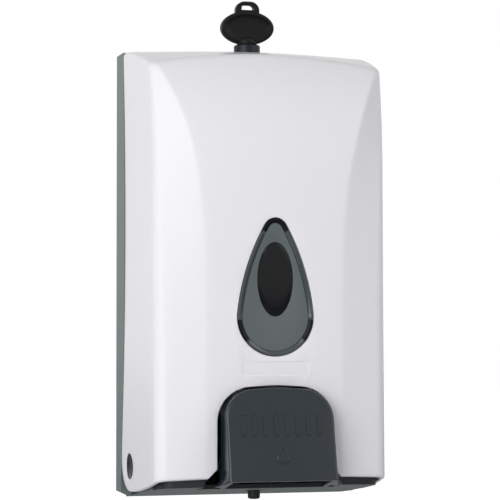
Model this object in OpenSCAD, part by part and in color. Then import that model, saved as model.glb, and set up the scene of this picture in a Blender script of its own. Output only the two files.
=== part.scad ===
// Wall mounted soap dispenser: a grey wall plate with a shelf below, a refillable tank, a
// push pump and a white cover that swings down on two pins and locks with a key on top.
//
// Millimetres. The wall is the plane y = 0, the front looks along -y, +z is up and the
// origin is on the wall, half way up the body. Inside the modules heights are counted from
// the lower edge of the wall plate and depths from the wall.

/* [Body] */
// Width of the cover and the wall plate
body_w = 134.6; // [126:0.2:146]
// Height of the body at its sides
body_h = 241.7; // [232:0.1:262]
// Depth of the cover at the middle of its front
body_d = 85.8; // [84:0.2:92]

/* [Cover] */
// Thickness of the cover's walls
wall = 2.4; // [1.8:0.1:3]
// How far the cover's sides lean in for each millimetre of depth
side_lean = 0.086; // [0.08:0.002:0.1]
// Radius of the long edges between the front and the sides
edge_r = 7.5; // [6.5:0.5:8.5]
// Radius of the slight crown across the middle of the front
crown_r = 840; // [600:20:1200]
// Half width of the middle panel where its creases run upright
crease_half = 36.6; // [35:0.2:42]
// Depth of the long edges at the bottom of the cover
edge_d = 81; // [80.5:0.1:82]
// How far the long edges lean back for each millimetre of height
edge_lean = 0.0335; // [0.03:0.0005:0.037]
// Radius of the middle of the front as it curves back to the top
sweep_r = 97; // [94:1:120]
// Height below the top at which the front starts to curve back
sweep_h = 63; // [50:1:66]
// Fall of the top from its rear edge to its front edge
top_fall = 6; // [4:0.2:8]
// Height of the arch across the top at the wall
arch_rear = 1.5; // [1:0.1:3.5]
// Height of the arch across the top at the front
arch_front = 6.8; // [5:0.2:8]
// Height of the cover's lower edge at its sides
skirt_up = 5.2; // [4.2:0.1:5.6]
// Height of the cover's lower edge at the front
front_up = 15.7; // [15.5:0.1:18]
// Gap between the cover and the wall plate
cover_gap = 0.3; // [0.25:0.05:0.6]

/* [Wall plate] */
// Thickness of the wall plate
plate_t = 3; // [2.4:0.2:4]
// Thickness of the rim and of the shelf's walls
rim_t = 2.5; // [2:0.1:3]
// Greatest depth of the rim
rim_d = 22.3; // [21:0.1:22.6]
// Radius of the bowed front edge of the rim
bow_r = 1143; // [1000:1:1143]
// Width of the cut across the plate's lower corners
corner_w = 7.3; // [5:0.1:7.6]
// Height of the cut across the plate's lower corners
corner_h = 3.4; // [2.4:0.1:4]
// Distance between the wall screw holes across the plate
screw_w = 84; // [76:1:92]
// Distance between the wall screw holes up the plate
screw_h = 150; // [130:1:160]
// Radius of the wall screw holes
screw_r = 2.6; // [2.2:0.1:3.2]
// Height of the pads round the wall screw holes
pad_t = 1.5; // [1:0.1:2.4]
// Radius of the pads round the wall screw holes
pad_r = 7; // [5:0.5:9]

/* [Shelf] */
// Depth of the shelf below the tank
shelf_d = 81.5; // [79:0.1:81.8]
// Rise of the shelf's underside from the wall to the front
shelf_rise = 10.7; // [9:0.1:11.5]
// Thickness of the shelf's floor
floor_t = 2.5; // [2:0.1:3.2]
// Height of the shelf's front lip
lip_h = 4.5; // [3.4:0.1:4.7]
// Gap between the push lever's foot and its notch in the shelf
notch_gap = 2.6; // [1.5:0.1:3]
// Depth of that notch
notch_d = 18.5; // [17:0.5:20]
// Radius of the hole that the nozzle comes through
nozzle_hole_r = 4.9; // [4.2:0.1:6]

/* [Cover hinge] */
// Depth of the hinge axis
hinge_d = 30.5; // [30.4:0.1:33]
// Height of the hinge axis
hinge_up = 18.7; // [18.7:0.1:21]
// Radius of the hinge pins' heads
head_r = 6.9; // [5.5:0.1:7.4]
// Radius of the hinge pins
pin_r = 3; // [2.4:0.1:3.6]
// Running clearance of pins in their bores
run_gap = 0.05; // [0.03:0.01:0.08]
// Radius of the bosses that hold the hinge pins
boss_r = 8; // [6.5:0.1:9]

/* [Tank] */
// Gap between the tank and the cover's sides
tank_gap = 3.3; // [2:0.1:8]
// Depth of the tank's back
tank_back = 7; // [6:0.1:9]
// Depth of the tank's front
tank_front = 70; // [66:0.5:72]
// Height of the tank's bottom
tank_up = 48.7; // [48.7:0.1:52]
// Height of the body left free above the tank
head_room = 35; // [33:0.5:50]
// Thickness of the tank's walls
tank_t = 2; // [1.5:0.1:3]
// Radius of the tank's outlet neck
neck_r = 9; // [8:0.1:9.6]
// Thickness of the lid's plate
lid_t = 2.2; // [1.6:0.1:3]
// Thickness of the seals
seal_t = 1; // [0.8:0.1:1.2]

/* [Pump] */
// Depth of the nozzle and of the tank's outlet
outlet_d = 41; // [39:0.5:43]
// Height of the pump's axis
pump_up = 27.7; // [27:0.1:28.4]
// Outer radius of the pump's barrel
pump_r = 10.5; // [10:0.1:11]
// Radius of the pump's bore
bore_r = 8.5; // [7.5:0.1:8.7]
// Depth of the barrel's closed end
pump_back = 22; // [20:0.5:24]
// Depth of the barrel's open end
pump_front = 62; // [61:0.1:62.5]
// Height of the pump's outlet boss
outlet_up = 12; // [11.5:0.1:12.6]
// Radius of the nozzle
nozzle_r = 3.3; // [2.8:0.1:3.8]
// Radius of the passage in the nozzle
spout_r = 1.6; // [1.2:0.1:2]
// Height of the nozzle's tip
nozzle_up = 0.9; // [0.4:0.1:3]
// Radius of the plunger's rod
rod_r = 4; // [3.2:0.1:4.4]
// Depth of the plunger's tip
tip_d = 84.2; // [83.6:0.1:84.4]
// Radius of the plunger's tip
tip_r = 7.5; // [7.2:0.1:8]
// Radius of the spring's wire
wire_r = 0.6; // [0.4:0.05:0.8]
// Number of turns in the spring
turns = 5; // [3:0.5:6]

/* [Push lever] */
// Depth of the lever's pivot
pivot_d = 78; // [77.4:0.1:78.2]
// Height of the lever's pivot
pivot_up = 60.7; // [60.2:0.1:61]
// Radius of the pivot rod
pivot_r = 1.5; // [1.2:0.1:1.8]
// Half width of the lever
lever_half = 28.6; // [27:0.1:29]
// Height of the lever's top
lever_top = 62.2; // [61:0.1:62.5]
// Depth of the lever's face at its top
lever_top_d = 91.8; // [90:0.1:94]
// Depth of the lever's face at its bottom
lever_low_d = 103.2; // [101:0.1:105]
// Height of the bottom edge of the lever's face
lever_low = 15.1; // [14:0.1:16]
// Thickness of the lever's walls
lever_t = 2.2; // [1.8:0.1:2.6]
// Gap between the lever and its opening in the cover, at the sides
lever_gap = 2.2; // [1.8:0.1:2.6]
// Gap between the lever and its opening in the cover, at the top
lever_top_gap = 1; // [0.7:0.1:1.4]
// Radius of the lever's upper corners
lever_r = 15; // [12:0.5:17]
// How far the lever's lower corners flare out
flare = 4; // [2:0.2:4.4]

/* [Window] */
// Height of the middle of the window's round lower end
window_up = 98.4; // [96:0.2:110]
// Radius of the window's lower end
window_r = 20.5; // [18:0.5:22]
// Radius of the window's upper end
window_tip_r = 6.7; // [6.2:0.1:8]
// Distance between the centres of the window's two ends
window_h = 44.7; // [42:0.1:48]
// Radius of the window's long sides
window_side_r = 120; // [100:2:160]
// Width of the window's rim
window_rim = 2.7; // [2.2:0.1:3.2]
// Half width of the sight glass
glass_half_w = 9.5; // [8:0.1:10.5]
// Half height of the sight glass
glass_half_h = 19.2; // [17:0.1:20]

/* [Lock] */
// Depth of the lock's axis
lock_d = 26; // [25:0.1:27]
// Radius of the lock's collar
collar_r = 7.2; // [6.6:0.1:8]
// Radius of the lock's threaded body
thread_r = 5.9; // [5.6:0.1:6.2]
// Radius of the turning barrel
barrel_r = 4.6; // [4.2:0.1:4.8]
// Length of the cam from the lock's axis
cam_l = 16; // [14:0.5:17]
// Width of the cam
cam_w = 8; // [6:0.5:9]
// Width of the key's bow
bow_w = 29.4; // [24:0.2:34]
// Height of the key's bow
bow_h = 18.4; // [16:0.2:22]
// Thickness of the key's bow
bow_t = 6.5; // [5:0.1:8]

/* [Hidden] */
$fn = 64;
// Facets of the very large, nearly flat curves
large_fn = 720;
// Faces that touch on one body, but stay two pieces
touch = 0.1;
// Length past a surface so that a cut goes right through
past = 1;
// Depths between which every opening through the cover's front is cut
cut_from = hinge_d + 40;
cut_to = lever_low_d + 15;

half_w = body_w / 2;
plate_top = body_h;
shell = "#e9ebee";
grey = "#7f8786";
dark = "#34383d";
black = "#202224";
steel = "#b9bdc2";
clear = "#dfe6e6";
rubber = "#3a3a3c";

// ---- the cover's form ----
crease_start = body_h - 143;
crease_reach = 123.4;
crease_spread = 19.3;
crease_least = 3.4;
edge_thin = 3.8;
edge_sweep_r = 300;
edge_sweep_h = 75.7;
seam_d = 16.3;
top_rear_d = 17;
top_front_d = 65;
top_edge_r = 2.2;
skirt_front_d = 85;
bow_up = body_h - 99;
side_shares = [0, 0.035, 0.1, 0.2, 0.34, 0.48, 0.62, 0.76, 0.9, 1];
middle_shares = [1, 0.5, 0];
half_columns = len(side_shares) + 3 + len(middle_shares);
lower_rows = 5;
upper_rows = 9;
// Share of the way out to the edge and fall below the top, for each row over the top
top_rows = [[0.985, 0.8], [0.95, 0.1], [0.7, 0], [0.35, 0]];

function fall_back(r, s) = s > 0 ? r - sqrt(r * r - s * s) : 0;
function middle_depth(u) = body_d - fall_back(sweep_r, u - body_h + sweep_h);
function edge_depth(u) =
    edge_d - edge_lean * (u - front_up) - fall_back(edge_sweep_r, u - body_h + edge_sweep_h);
function edge_radius(u) = edge_r - edge_thin * max(0, u - crease_start) / (body_h - crease_start);
function crown_depth(x, u) = middle_depth(u) - x * x / (2 * crown_r);
function rear_depth(u) = max(hinge_d - knuckle_r, rim_d - fall_back(bow_r, abs(u - bow_up)) + cover_gap);
function side_x(d) = half_w - side_lean * (d - seam_d);
function crease_x(u) =
    min(side_x(edge_depth(u)) - crease_least,
        crease_half + crease_spread * pow(max(0, u - crease_start) / crease_reach, 3));
function top_height(x, d) =
    let (t = pow(max(0, d - top_rear_d) / (top_front_d - top_rear_d), 1.6))
    plate_top + arch_rear - top_fall * t
        - (arch_rear + (arch_front - arch_rear) * t) * pow(x / half_w, 2);

// ---- heights and places that several pieces share ----
shelf_slope = shelf_rise / shelf_d;
lip_top = shelf_rise + lip_h;
shelf_open = notch_d + 1;
shelf_wall_d = 46;
shelf_wall_up = 30;
function under(d) = shelf_slope * d;
shelf_half = side_x(hinge_d + hinge_up) - wall - 0.4;
lip_half = side_x(edge_d) - wall - 1.5;
lip_side_d = edge_d - wall - 1;
lip_corner_r = 8;
boss_x = side_x(hinge_d + boss_r) - wall - 0.4;
pin_l = 12;
knuckle_r = hinge_up - skirt_up;
tank_top = body_h - head_room;
tank_back_r = 6;
tank_front_r = 14;
tank_half = side_x(tank_front - tank_front_r) - wall - tank_gap;
lid_top = tank_top + seal_t + lid_t;
lid_plug_h = 6;
neck_low = tank_up - 4.7;
inlet_up = neck_low - seal_t;
foot_up = 15;
foot_t = 3;
foot_half = 19;
foot_x = 15;
foot_back = 24;
foot_front = 57.7;
foot_rows = [28, 54];
foot_spots = [for (d = foot_rows) for (x = [-foot_x, foot_x]) [x, d]];
foot_post_r = 3.5;
foot_pilot_r = 1.2;
foot_screw_r = 1.15;
screw_head_r = 2.8;
screw_head_t = 2;
cap_r = 13;
cap_back = 58;
cap_t = 4;
head_t = 6;
tip_t = 2.5;
nose_r = 3;
nose_gap = 0.3;
nose_half = 8;
nose_d = tip_d + nose_gap + nose_r;
lever_back = 80;
notch_half = lever_half + flare + notch_gap;
notch_flare = 6;
lever_arch = 2;
lever_arch_r = 60;
lug_back = 3.6;
lug_h = 26;
flare_back = 91.2;
lug_r = 4;
lug_t = 2.6;
ear_t = 3.2;
ear_gap = 0.3;
open_half = lever_half + lever_gap;
ear_x = open_half + 0.4;
open_top = lever_top + lever_top_gap;
open_up = front_up + 4.5;
open_flare = 25;
face_slope = (lever_low_d - lever_top_d) / (lever_top - lever_low);
function face_depth(u) = lever_top_d + face_slope * (lever_top - u);
frame_back = 81.2;
frame_front = body_d + 0.1;
glass_up = window_up + 19.4;
seat_up = plate_top + 0.2;
lock_up = plate_top + 2.6;
collar_top = lock_up + 2.4;
nut_top = seat_up - 2.4;
nut_t = 3;
nut_r = 8.4;
barrel_top = lock_up + 2.1;
bush_low = lock_up - 15.6;
barrel_low = bush_low - 2.2;
cam_top = barrel_low - touch;
cam_t = 2.5;
slot_w = 6.4;
slot_t = 1.7;
slot_low = bush_low + 1.5;
key_gap = 0.1;
key_low = lock_up + 2.8;
key_neck_r = 5.6;
bow_rim = 2.6;
bow_dish = 1.4;
loop_half = 6.65;
loop_h = 5.3;
loop_t = 4.4;
eye_half = 3.1;
eye_low = 0.6;
eye_h = 2.7;
strike_x = cam_l + 1.8;
strike_t = 3;
strike_h = 10;
strike_up = cam_top - 6.7;
strike_mid = strike_up + strike_h / 2;
strike_foot = 14;
strike_seat = plate_t + 2.5;
strike_d = lock_d + cam_w / 2 + strike_t + 0.6;
strike_lip_x = cam_w / 2 + 4.5;
strike_screw_x = strike_x + 9.2;

// ---- shared helpers ----
module on_wall() translate([0, 0, -body_h / 2]) children();

// A side profile of [depth, height] points, drawn out across the body
module across(width) rotate([90, 0, -90]) linear_extrude(width, center = true) children();

// A front outline of [x, height] points, drawn out from depth d0 to depth d1
module outward(d0, d1) translate([0, -d0, 0]) rotate([90, 0, 0])
    linear_extrude(d1 - d0) children();

// A round bar along x from x0 to x1
module bar_x(r, x0, x1, d, u) translate([x0, -d, u]) rotate([0, 90, 0]) cylinder(r = r, h = x1 - x0);

// A round bar along the depth from d0 to d1
module bar_d(r, d0, d1, x, u) translate([x, -d0, u]) rotate([90, 0, 0]) cylinder(r = r, h = d1 - d0);

// A round bar upwards from u0 to u1
module bar_z(r, u0, u1, x, d) translate([x, -d, u0]) cylinder(r = r, h = u1 - u0);

// A block between two corners of [x, depth, height]
module block(a, b) translate([a[0], -b[1], a[2]]) cube([b[0] - a[0], b[1] - a[1], b[2] - a[2]]);

module both_sides() {
    children();
    mirror([1, 0, 0]) children();
}

// A corner at q between p and s as points on an arc of radius r
function unit(v) = v / norm(v);
function flat(p) = [p[0], p[1]];
function short_turn(a) = a > 180 ? a - 360 : a < -180 ? a + 360 : a;
function round_corner(p, q, s, r, n) =
    let (u = unit(p - q), v = unit(s - q), half = acos(u * v) / 2,
         c = q + unit(u + v) * r / sin(half),
         a = q + u * r / tan(half) - c, b = q + v * r / tan(half) - c,
         start = atan2(a[1], a[0]), step = short_turn(atan2(b[1], b[0]) - start) / n)
    [for (i = [0 : n]) c + r * [cos(start + i * step), sin(start + i * step)]];

// An outline of [x, y, radius] corners with each corner rounded to its radius
function rounded(pts, n = 8) =
    let (m = len(pts))
    [for (i = [0 : m - 1])
        each pts[i][2] > 0
            ? round_corner(flat(pts[(i + m - 1) % m]), flat(pts[i]), flat(pts[(i + 1) % m]),
                           pts[i][2], n)
            : [flat(pts[i])]];

function ellipse(a, b, n = 48) = [for (i = [0 : n - 1]) [a * cos(i * 360 / n), b * sin(i * 360 / n)]];
function plan(pts) = [for (p = pts) [p[0], -p[1]]];

// ---- the cover's form ----
// The lower edge of the cover: round behind the hinge, then rising to the front
function skirt_height(d) =
    d < hinge_d ? hinge_up - sqrt(max(0, knuckle_r * knuckle_r - pow(hinge_d - d, 2)))
    : let (t = min(1, (d - hinge_d) / (skirt_front_d - hinge_d)))
        skirt_up + (front_up - skirt_up) * pow(t, 1.5);

// One point of the cover's right half at height u, drawn in by inset. Columns run from the
// rear edge along the side, round the long edge, over the facet and on to the middle.
function half_point(j, u, inset) =
    let (rear = [side_x(rear_depth(u)), rear_depth(u)],
         corner = [side_x(edge_depth(u)), edge_depth(u)],
         crease = [crease_x(u), crown_depth(crease_x(u), u)],
         v = unit(rear - corner), w = unit(crease - corner), half = acos(v * w) / 2,
         reach = min(edge_radius(u) / tan(half), 0.8 * norm(crease - corner)), r = reach * tan(half),
         hub = corner + unit(v + w) * r / sin(half),
         n0 = unit(corner + v * reach - hub), n1 = unit(corner + w * reach - hub),
         last = len(side_shares))
    j < last ? rear + side_shares[j] * (corner + v * reach - rear) - [inset, 0]
    : j < last + 3 ? let (t = (j - last + 1) / 3)
        hub + (r - inset) * unit((1 - t) * n0 + t * n1)
    : j == last + 3 ? (hub + (r - inset) * n1 + crease - [0, inset]) / 2
    : let (x = crease[0] * middle_shares[j - last - 4]) [x, crown_depth(x, u) - inset];
function skin_point(j, u, inset) =
    j < half_columns ? let (p = half_point(j, u, inset)) [-p[0], p[1]]
                     : half_point(2 * half_columns - j, u, inset);

// Height at which column j meets the top, found by repeated substitution
function rim_height(j, inset, u, tries) =
    tries == 0 ? u
    : let (p = skin_point(j, u, inset)) rim_height(j, inset, top_height(p[0], p[1]) - inset, tries - 1);

// Rows of the cover's skin: up its front and sides, over its top edge, then in over the top
function skin_rows(inset) =
    let (columns = [0 : 2 * half_columns],
         rims = [for (j = columns) rim_height(j, inset, plate_top - 5, 12)],
         edge = [for (j = columns) skin_point(j, rims[j], inset)],
         hub = [0, rear_depth(plate_top)])
    concat(
        [[for (j = columns)
            let (p = skin_point(j, front_up, inset)) [p[0], p[1], skirt_height(p[1])]]],
        [for (k = [0 : lower_rows]) [for (j = columns)
            let (u = front_up + 12 + (crease_start - front_up - 12) * k / lower_rows,
                 p = skin_point(j, u, inset)) [p[0], p[1], u]]],
        [for (k = [1 : upper_rows]) [for (j = columns)
            let (u = crease_start + (rims[j] - top_edge_r - crease_start) * k / upper_rows,
                 p = skin_point(j, u, inset)) [p[0], p[1], u]]],
        [for (s = top_rows) [for (j = columns)
            let (p = hub + s[0] * (edge[j] - hub))
            [p[0], p[1], top_height(p[0], p[1]) - inset - s[1]]]]);

// The cover's shell: an outer and an inner skin joined along the lower and the rear edges
module cover_shell() {
    outer = skin_rows(0);
    inner = skin_rows(wall);
    rows = len(outer);
    n = len(outer[0]);
    tip = [0, rear_depth(plate_top)];
    size = rows * n + 1;
    points = concat([for (r = outer) each r], [[tip[0], tip[1], top_height(0, tip[1])]],
                    [for (r = inner) each r], [[tip[0], tip[1], top_height(0, tip[1]) - wall]]);
    function out(i, j) = i == rows ? size - 1 : i * n + j;
    function in(i, j) = size + out(i, j);
    function quad(a, b, c, d) = [[a, b, c], [a, c, d]];
    faces = concat(
        [for (i = [0 : rows - 2]) for (j = [0 : n - 2]) each concat(
            quad(out(i, j), out(i + 1, j), out(i + 1, j + 1), out(i, j + 1)),
            quad(in(i, j), in(i, j + 1), in(i + 1, j + 1), in(i + 1, j)))],
        [for (j = [0 : n - 2]) each concat(
            [[out(rows - 1, j), out(rows, 0), out(rows - 1, j + 1)]],
            [[in(rows - 1, j), in(rows - 1, j + 1), in(rows, 0)]],
            quad(out(0, j), out(0, j + 1), in(0, j + 1), in(0, j)))],
        [for (i = [0 : rows - 1]) each concat(
            quad(out(i + 1, 0), out(i, 0), in(i, 0), in(i + 1, 0)),
            quad(out(i, n - 1), out(i + 1, n - 1), in(i + 1, n - 1), in(i, n - 1)))]);
    polyhedron([for (p = points) [p[0], -p[1], p[2]]], faces);
}

// Everything behind the bowed front edge of the rim
module behind_bow(width) translate([0, bow_r - rim_d, bow_up])
    rotate([0, 90, 0]) cylinder(r = bow_r, h = width, center = true, $fn = large_fn);

// ---- wall plate with its shelf ----
module plate_outline(inset, low) polygon([
    [-half_w + inset, corner_h + low], [-half_w + corner_w + inset, low],
    [half_w - corner_w - inset, low], [half_w - inset, corner_h + low],
    [half_w - inset, plate_top + arch_rear + past],
    [-half_w + inset, plate_top + arch_rear + past]]);

module below_arch(inset) {
    dome_r = (half_w * half_w + arch_rear * arch_rear) / (2 * arch_rear);
    translate([0, past, plate_top + arch_rear - dome_r]) rotate([90, 0, 0])
        cylinder(r = dome_r - inset, h = 2 * rim_d, $fn = large_fn);
}

module shelf_plan(inset) linear_extrude(tank_up) polygon(plan(rounded([
    [-shelf_half + inset, 0, 0], [shelf_half - inset, 0, 0],
    [shelf_half - inset, outlet_d, 0], [lip_half - inset, lip_side_d - inset, lip_corner_r - inset],
    [crease_half + 2, shelf_d - inset, 0], [-crease_half - 2, shelf_d - inset, 0],
    [-lip_half + inset, lip_side_d - inset, lip_corner_r - inset], [-shelf_half + inset, outlet_d, 0]])));

module shelf() difference() {
    intersection() {
        shelf_plan(0);
        across(body_w) polygon([[0, 0], [shelf_d, shelf_rise], [shelf_d, lip_top],
            [shelf_d - shelf_open, lip_top], [shelf_wall_d, shelf_wall_up], [0, shelf_wall_up]]);
    }
    intersection() {
        shelf_plan(rim_t);
        across(body_w) polygon([[plate_t, under(plate_t) + floor_t],
            [shelf_d, under(shelf_d) + floor_t], [shelf_d, tank_up], [plate_t, tank_up]]);
    }
}

// The plate's foot slopes up from the wall in line with the shelf's underside
module above_underside() across(body_w + 2) polygon([
    [-past, under(-past)], [shelf_d, shelf_rise], [shelf_d, 2 * body_h], [-past, 2 * body_h]]);

module wall_screw_places() for (x = [-1, 1]) for (u = [-1, 1])
    translate([x * screw_w / 2, 0, body_h / 2 + u * screw_h / 2]) children();

module back_plate() color(grey) on_wall() difference() {
    union() {
        difference() {
            intersection() {
                outward(0, rim_d) plate_outline(0, 0);
                behind_bow(body_w + 2);
                below_arch(0);
                above_underside();
            }
            intersection() {
                outward(plate_t, rim_d + past) plate_outline(rim_t, floor_t + 0.5);
                below_arch(rim_t);
            }
        }
        shelf();
        both_sides() bar_x(boss_r, boss_x - pin_l, boss_x, hinge_d, hinge_up);
        wall_screw_places() rotate([90, 0, 0]) cylinder(r = pad_r, h = plate_t + pad_t);
        for (p = foot_spots) bar_z(foot_post_r, under(p[1]) + floor_t / 2, foot_up, p[0], p[1]);
        both_sides() {
            block([34, plate_t / 2, tank_up - 8], [46, tank_back + 27, tank_up - 0.3]);
            block([23, plate_t / 2, tank_up + 12], [27, tank_back - 0.3, tank_top - 18]);
        }
    }
    wall_screw_places() rotate([90, 0, 0])
        translate([0, 0, -past]) cylinder(r = screw_r, h = plate_t + pad_t + 2 * past);
    both_sides() bar_x(pin_r + run_gap, boss_x - pin_l - past, boss_x + past, hinge_d, hinge_up);
    outward(shelf_d - notch_d, shelf_d + past) polygon([
        [-notch_half - notch_flare, -past], [-notch_half, lip_top + past],
        [notch_half, lip_top + past], [notch_half + notch_flare, -past]]);
    bar_z(nozzle_hole_r, -past, outlet_up, 0, outlet_d);
    for (p = foot_spots)
        bar_z(foot_pilot_r, under(p[1]) + floor_t + 0.4, foot_up + past, p[0], p[1]);
    bar_d(foot_pilot_r, 0.6, plate_t + past, strike_screw_x, strike_mid);
}

// ---- hinge pins, fixed in the shelf's bosses, on which the cover turns ----
module hinge_pin() on_wall() difference() {
    union() {
        bar_x(pin_r, boss_x - pin_l + past, boss_x + touch, hinge_d, hinge_up);
        bar_x(head_r - 2.2, boss_x + touch, side_x(hinge_d) - wall + 0.1, hinge_d, hinge_up);
        bar_x(head_r, side_x(hinge_d) - wall + 0.1, side_x(hinge_d) - 0.3, hinge_d, hinge_up);
    }
    translate([side_x(hinge_d) - 0.8, -hinge_d, hinge_up]) rotate([0, 90, 0])
        cylinder(r1 = 3, r2 = 5.6, h = 0.6);
}
module hinge_pin_left() color(dark) mirror([1, 0, 0]) hinge_pin();
module hinge_pin_right() color(dark) hinge_pin();

// ---- tank ----
module tank_plan(inset, low, high) translate([0, 0, low]) linear_extrude(high - low)
    polygon(plan(rounded([
        [-tank_half + inset, tank_back + inset, tank_back_r - inset],
        [tank_half - inset, tank_back + inset, tank_back_r - inset],
        [tank_half - inset, tank_front - inset, tank_front_r - inset],
        [-tank_half + inset, tank_front - inset, tank_front_r - inset]])));

module tank() color(clear) on_wall() difference() {
    union() {
        tank_plan(0, tank_up, tank_top);
        bar_z(neck_r, neck_low, tank_up + past, 0, outlet_d);
    }
    tank_plan(tank_t, tank_up + tank_t + 0.5, tank_top + past);
    bar_z(neck_r - 3, neck_low - past, tank_up + tank_t + past, 0, outlet_d);
}

module tank_lid() color("#c9cfd0") on_wall() {
    tank_plan(0, tank_top + seal_t, lid_top);
    difference() {
        tank_plan(tank_t + 0.3, tank_top - lid_plug_h, tank_top + seal_t + 0.2);
        tank_plan(tank_t + 2, tank_top - lid_plug_h - past, tank_top + seal_t - 0.2);
    }
}

module lid_seal() color(rubber) on_wall() difference() {
    tank_plan(0.2, tank_top, tank_top + seal_t);
    tank_plan(tank_t, tank_top - past, tank_top + seal_t + past);
}

module union_nut() color(dark) on_wall() difference() {
    union() {
        bar_z(neck_r + 3, neck_low - 5, neck_low + 3.8, 0, outlet_d);
        for (a = [0 : 30 : 330]) translate([0, -outlet_d, neck_low - 5]) rotate([0, 0, a])
            translate([neck_r + 3, 0, 0]) cylinder(r = 0.8, h = 8.8, $fn = 16);
    }
    bar_z(neck_r + run_gap, neck_low - 6, neck_low + 5, 0, outlet_d);
}

module neck_seal() color(rubber) on_wall() difference() {
    bar_z(neck_r - 0.2, inlet_up, neck_low, 0, outlet_d);
    bar_z(neck_r - 3, inlet_up - past, neck_low + past, 0, outlet_d);
}

// ---- pump ----
module pump_body() color("#e3e3df") on_wall() difference() {
    union() {
        bar_d(pump_r, pump_back, pump_front, 0, pump_up);
        bar_z(neck_r, pump_up, inlet_up, 0, outlet_d);
        bar_z(6.5, outlet_up, pump_up, 0, outlet_d);
        block([-foot_half, foot_back, foot_up], [foot_half, foot_front, foot_up + foot_t]);
    }
    bar_d(bore_r, pump_back + rim_t, pump_front + past, 0, pump_up);
    bar_z(5.4, inlet_up - 3, inlet_up + past, 0, outlet_d);
    for (a = [0 : 60 : 300]) translate([0, -outlet_d, pump_up]) rotate([0, 0, a])
        translate([3.2, 0, 0]) cylinder(r = 0.9, h = 20, $fn = 24);
    bar_z(1.1, pump_up, inlet_up, 0, outlet_d);
    bar_z(2.2, outlet_up, pump_up, 0, outlet_d);
    bar_z(4.5, outlet_up - past, outlet_up + 5, 0, outlet_d);
    for (p = foot_spots) bar_z(foot_pilot_r + 0.4, foot_up - past, foot_up + foot_t + past, p[0], p[1]);
}

module inlet_valve() color(rubber) on_wall() {
    bar_z(4.9, inlet_up - 2.9, inlet_up - 2.1, 0, outlet_d);
    bar_z(1, inlet_up - 5.6, inlet_up - 2.8, 0, outlet_d);
}

module outlet_valve() color(rubber) on_wall() difference() {
    bar_z(4.35, outlet_up + 3.4, outlet_up + 4.9, 0, outlet_d);
    bar_z(0.6, outlet_up, outlet_up + 6, 0, outlet_d);
}

module nozzle() color(dark) on_wall() difference() {
    union() {
        bar_z(4.5 - run_gap, outlet_up - 0.2, outlet_up + 3.3, 0, outlet_d);
        bar_z(6, outlet_up - 1.6, outlet_up, 0, outlet_d);
        bar_z(nozzle_r, nozzle_up + 1.2, outlet_up, 0, outlet_d);
        translate([0, -outlet_d, nozzle_up]) rotate_extrude()
            polygon(rounded([[0, 0, 0], [nozzle_r, 0, 1.2], [nozzle_r, 1.4, 0], [0, 1.4, 0]]));
    }
    bar_z(spout_r, nozzle_up - past, outlet_up + 5, 0, outlet_d);
}

module pump_cap() color(dark) on_wall() difference() {
    union() {
        bar_d(cap_r - 0.8, cap_back, pump_front + cap_t, 0, pump_up);
        for (a = [0 : 20 : 340]) translate([0, -cap_back, pump_up]) rotate([90, 0, 0]) rotate([0, 0, a])
            translate([cap_r - 0.9, 0, 0]) cylinder(r = 0.8, h = pump_front + cap_t - cap_back, $fn = 16);
    }
    bar_d(pump_r + run_gap, cap_back - past, pump_front, 0, pump_up);
    bar_d(rod_r + run_gap, pump_front - past, pump_front + cap_t + past, 0, pump_up);
}

// Round wire wound on a helix between the cap and the plunger's tip
module pump_spring() color(steel) on_wall() {
    coil_r = rod_r + 0.6 + wire_r;
    start_d = pump_front + cap_t + wire_r + touch;
    end_d = tip_d - tip_t - wire_r - touch;
    per_turn = 18;
    sides = 8;
    n = round(turns * per_turn);
    rings = [for (i = [0 : n]) let (a = i * turns * 360 / n)
        [for (s = [0 : sides - 1]) let (b = s * 360 / sides, r = coil_r + wire_r * cos(b))
            [r * cos(a), -(start_d + (end_d - start_d) * i / n + wire_r * sin(b)),
             pump_up + r * sin(a)]]];
    faces = concat(
        [for (i = [0 : n - 1]) for (s = [0 : sides - 1]) let (t = (s + 1) % sides)
            each [[i * sides + s, i * sides + t, (i + 1) * sides + t],
                  [i * sides + s, (i + 1) * sides + t, (i + 1) * sides + s]]],
        [[for (s = [sides - 1 : -1 : 0]) s]], [[for (s = [0 : sides - 1]) n * sides + s]]);
    polyhedron([for (r = rings) each r], faces);
}

module pump_screws() color(steel) on_wall() for (p = foot_spots) {
    seat = foot_up + foot_t;
    difference() {
        union() {
            bar_z(screw_head_r, seat, seat + screw_head_t, p[0], p[1]);
            bar_z(foot_screw_r, under(p[1]) + floor_t + 0.6, seat + 0.2, p[0], p[1]);
        }
        for (turn = [0, 90]) translate([p[0], -p[1], seat + screw_head_t]) rotate([0, 0, turn])
            cube([4, 0.8, 1.6], center = true);
    }
}

module plunger() color("#d9dad8") on_wall() {
    difference() {
        bar_d(bore_r - 0.3, pump_front - 0.3 - head_t, pump_front - 0.3, 0, pump_up);
        difference() {
            bar_d(bore_r + past, pump_front - 4.3, pump_front - 2.3, 0, pump_up);
            bar_d(bore_r - 1.9, pump_front - 5, pump_front - 1, 0, pump_up);
        }
    }
    bar_d(rod_r, pump_front - 0.4, tip_d - 0.1, 0, pump_up);
    bar_d(tip_r, tip_d - tip_t, tip_d, 0, pump_up);
}

module piston_seal() color(rubber) on_wall() difference() {
    bar_d(bore_r - 0.04, pump_front - 4.25, pump_front - 2.35, 0, pump_up);
    bar_d(bore_r - 1.85, pump_front - 6, pump_front, 0, pump_up);
}

// ---- cover ----
// The opening that the push lever swings in, flaring out at its foot
module lever_opening() outward(cut_from, cut_to) polygon(rounded([
    [-open_half - open_flare, open_up - open_flare, 0], [-open_half, open_up, 1],
    [-open_half, open_top - lever_arch, lever_r + 1], [0, open_top, lever_arch_r],
    [open_half, open_top - lever_arch, lever_r + 1],
    [open_half, open_up, 1], [open_half + open_flare, open_up - open_flare, 0]]));

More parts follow.
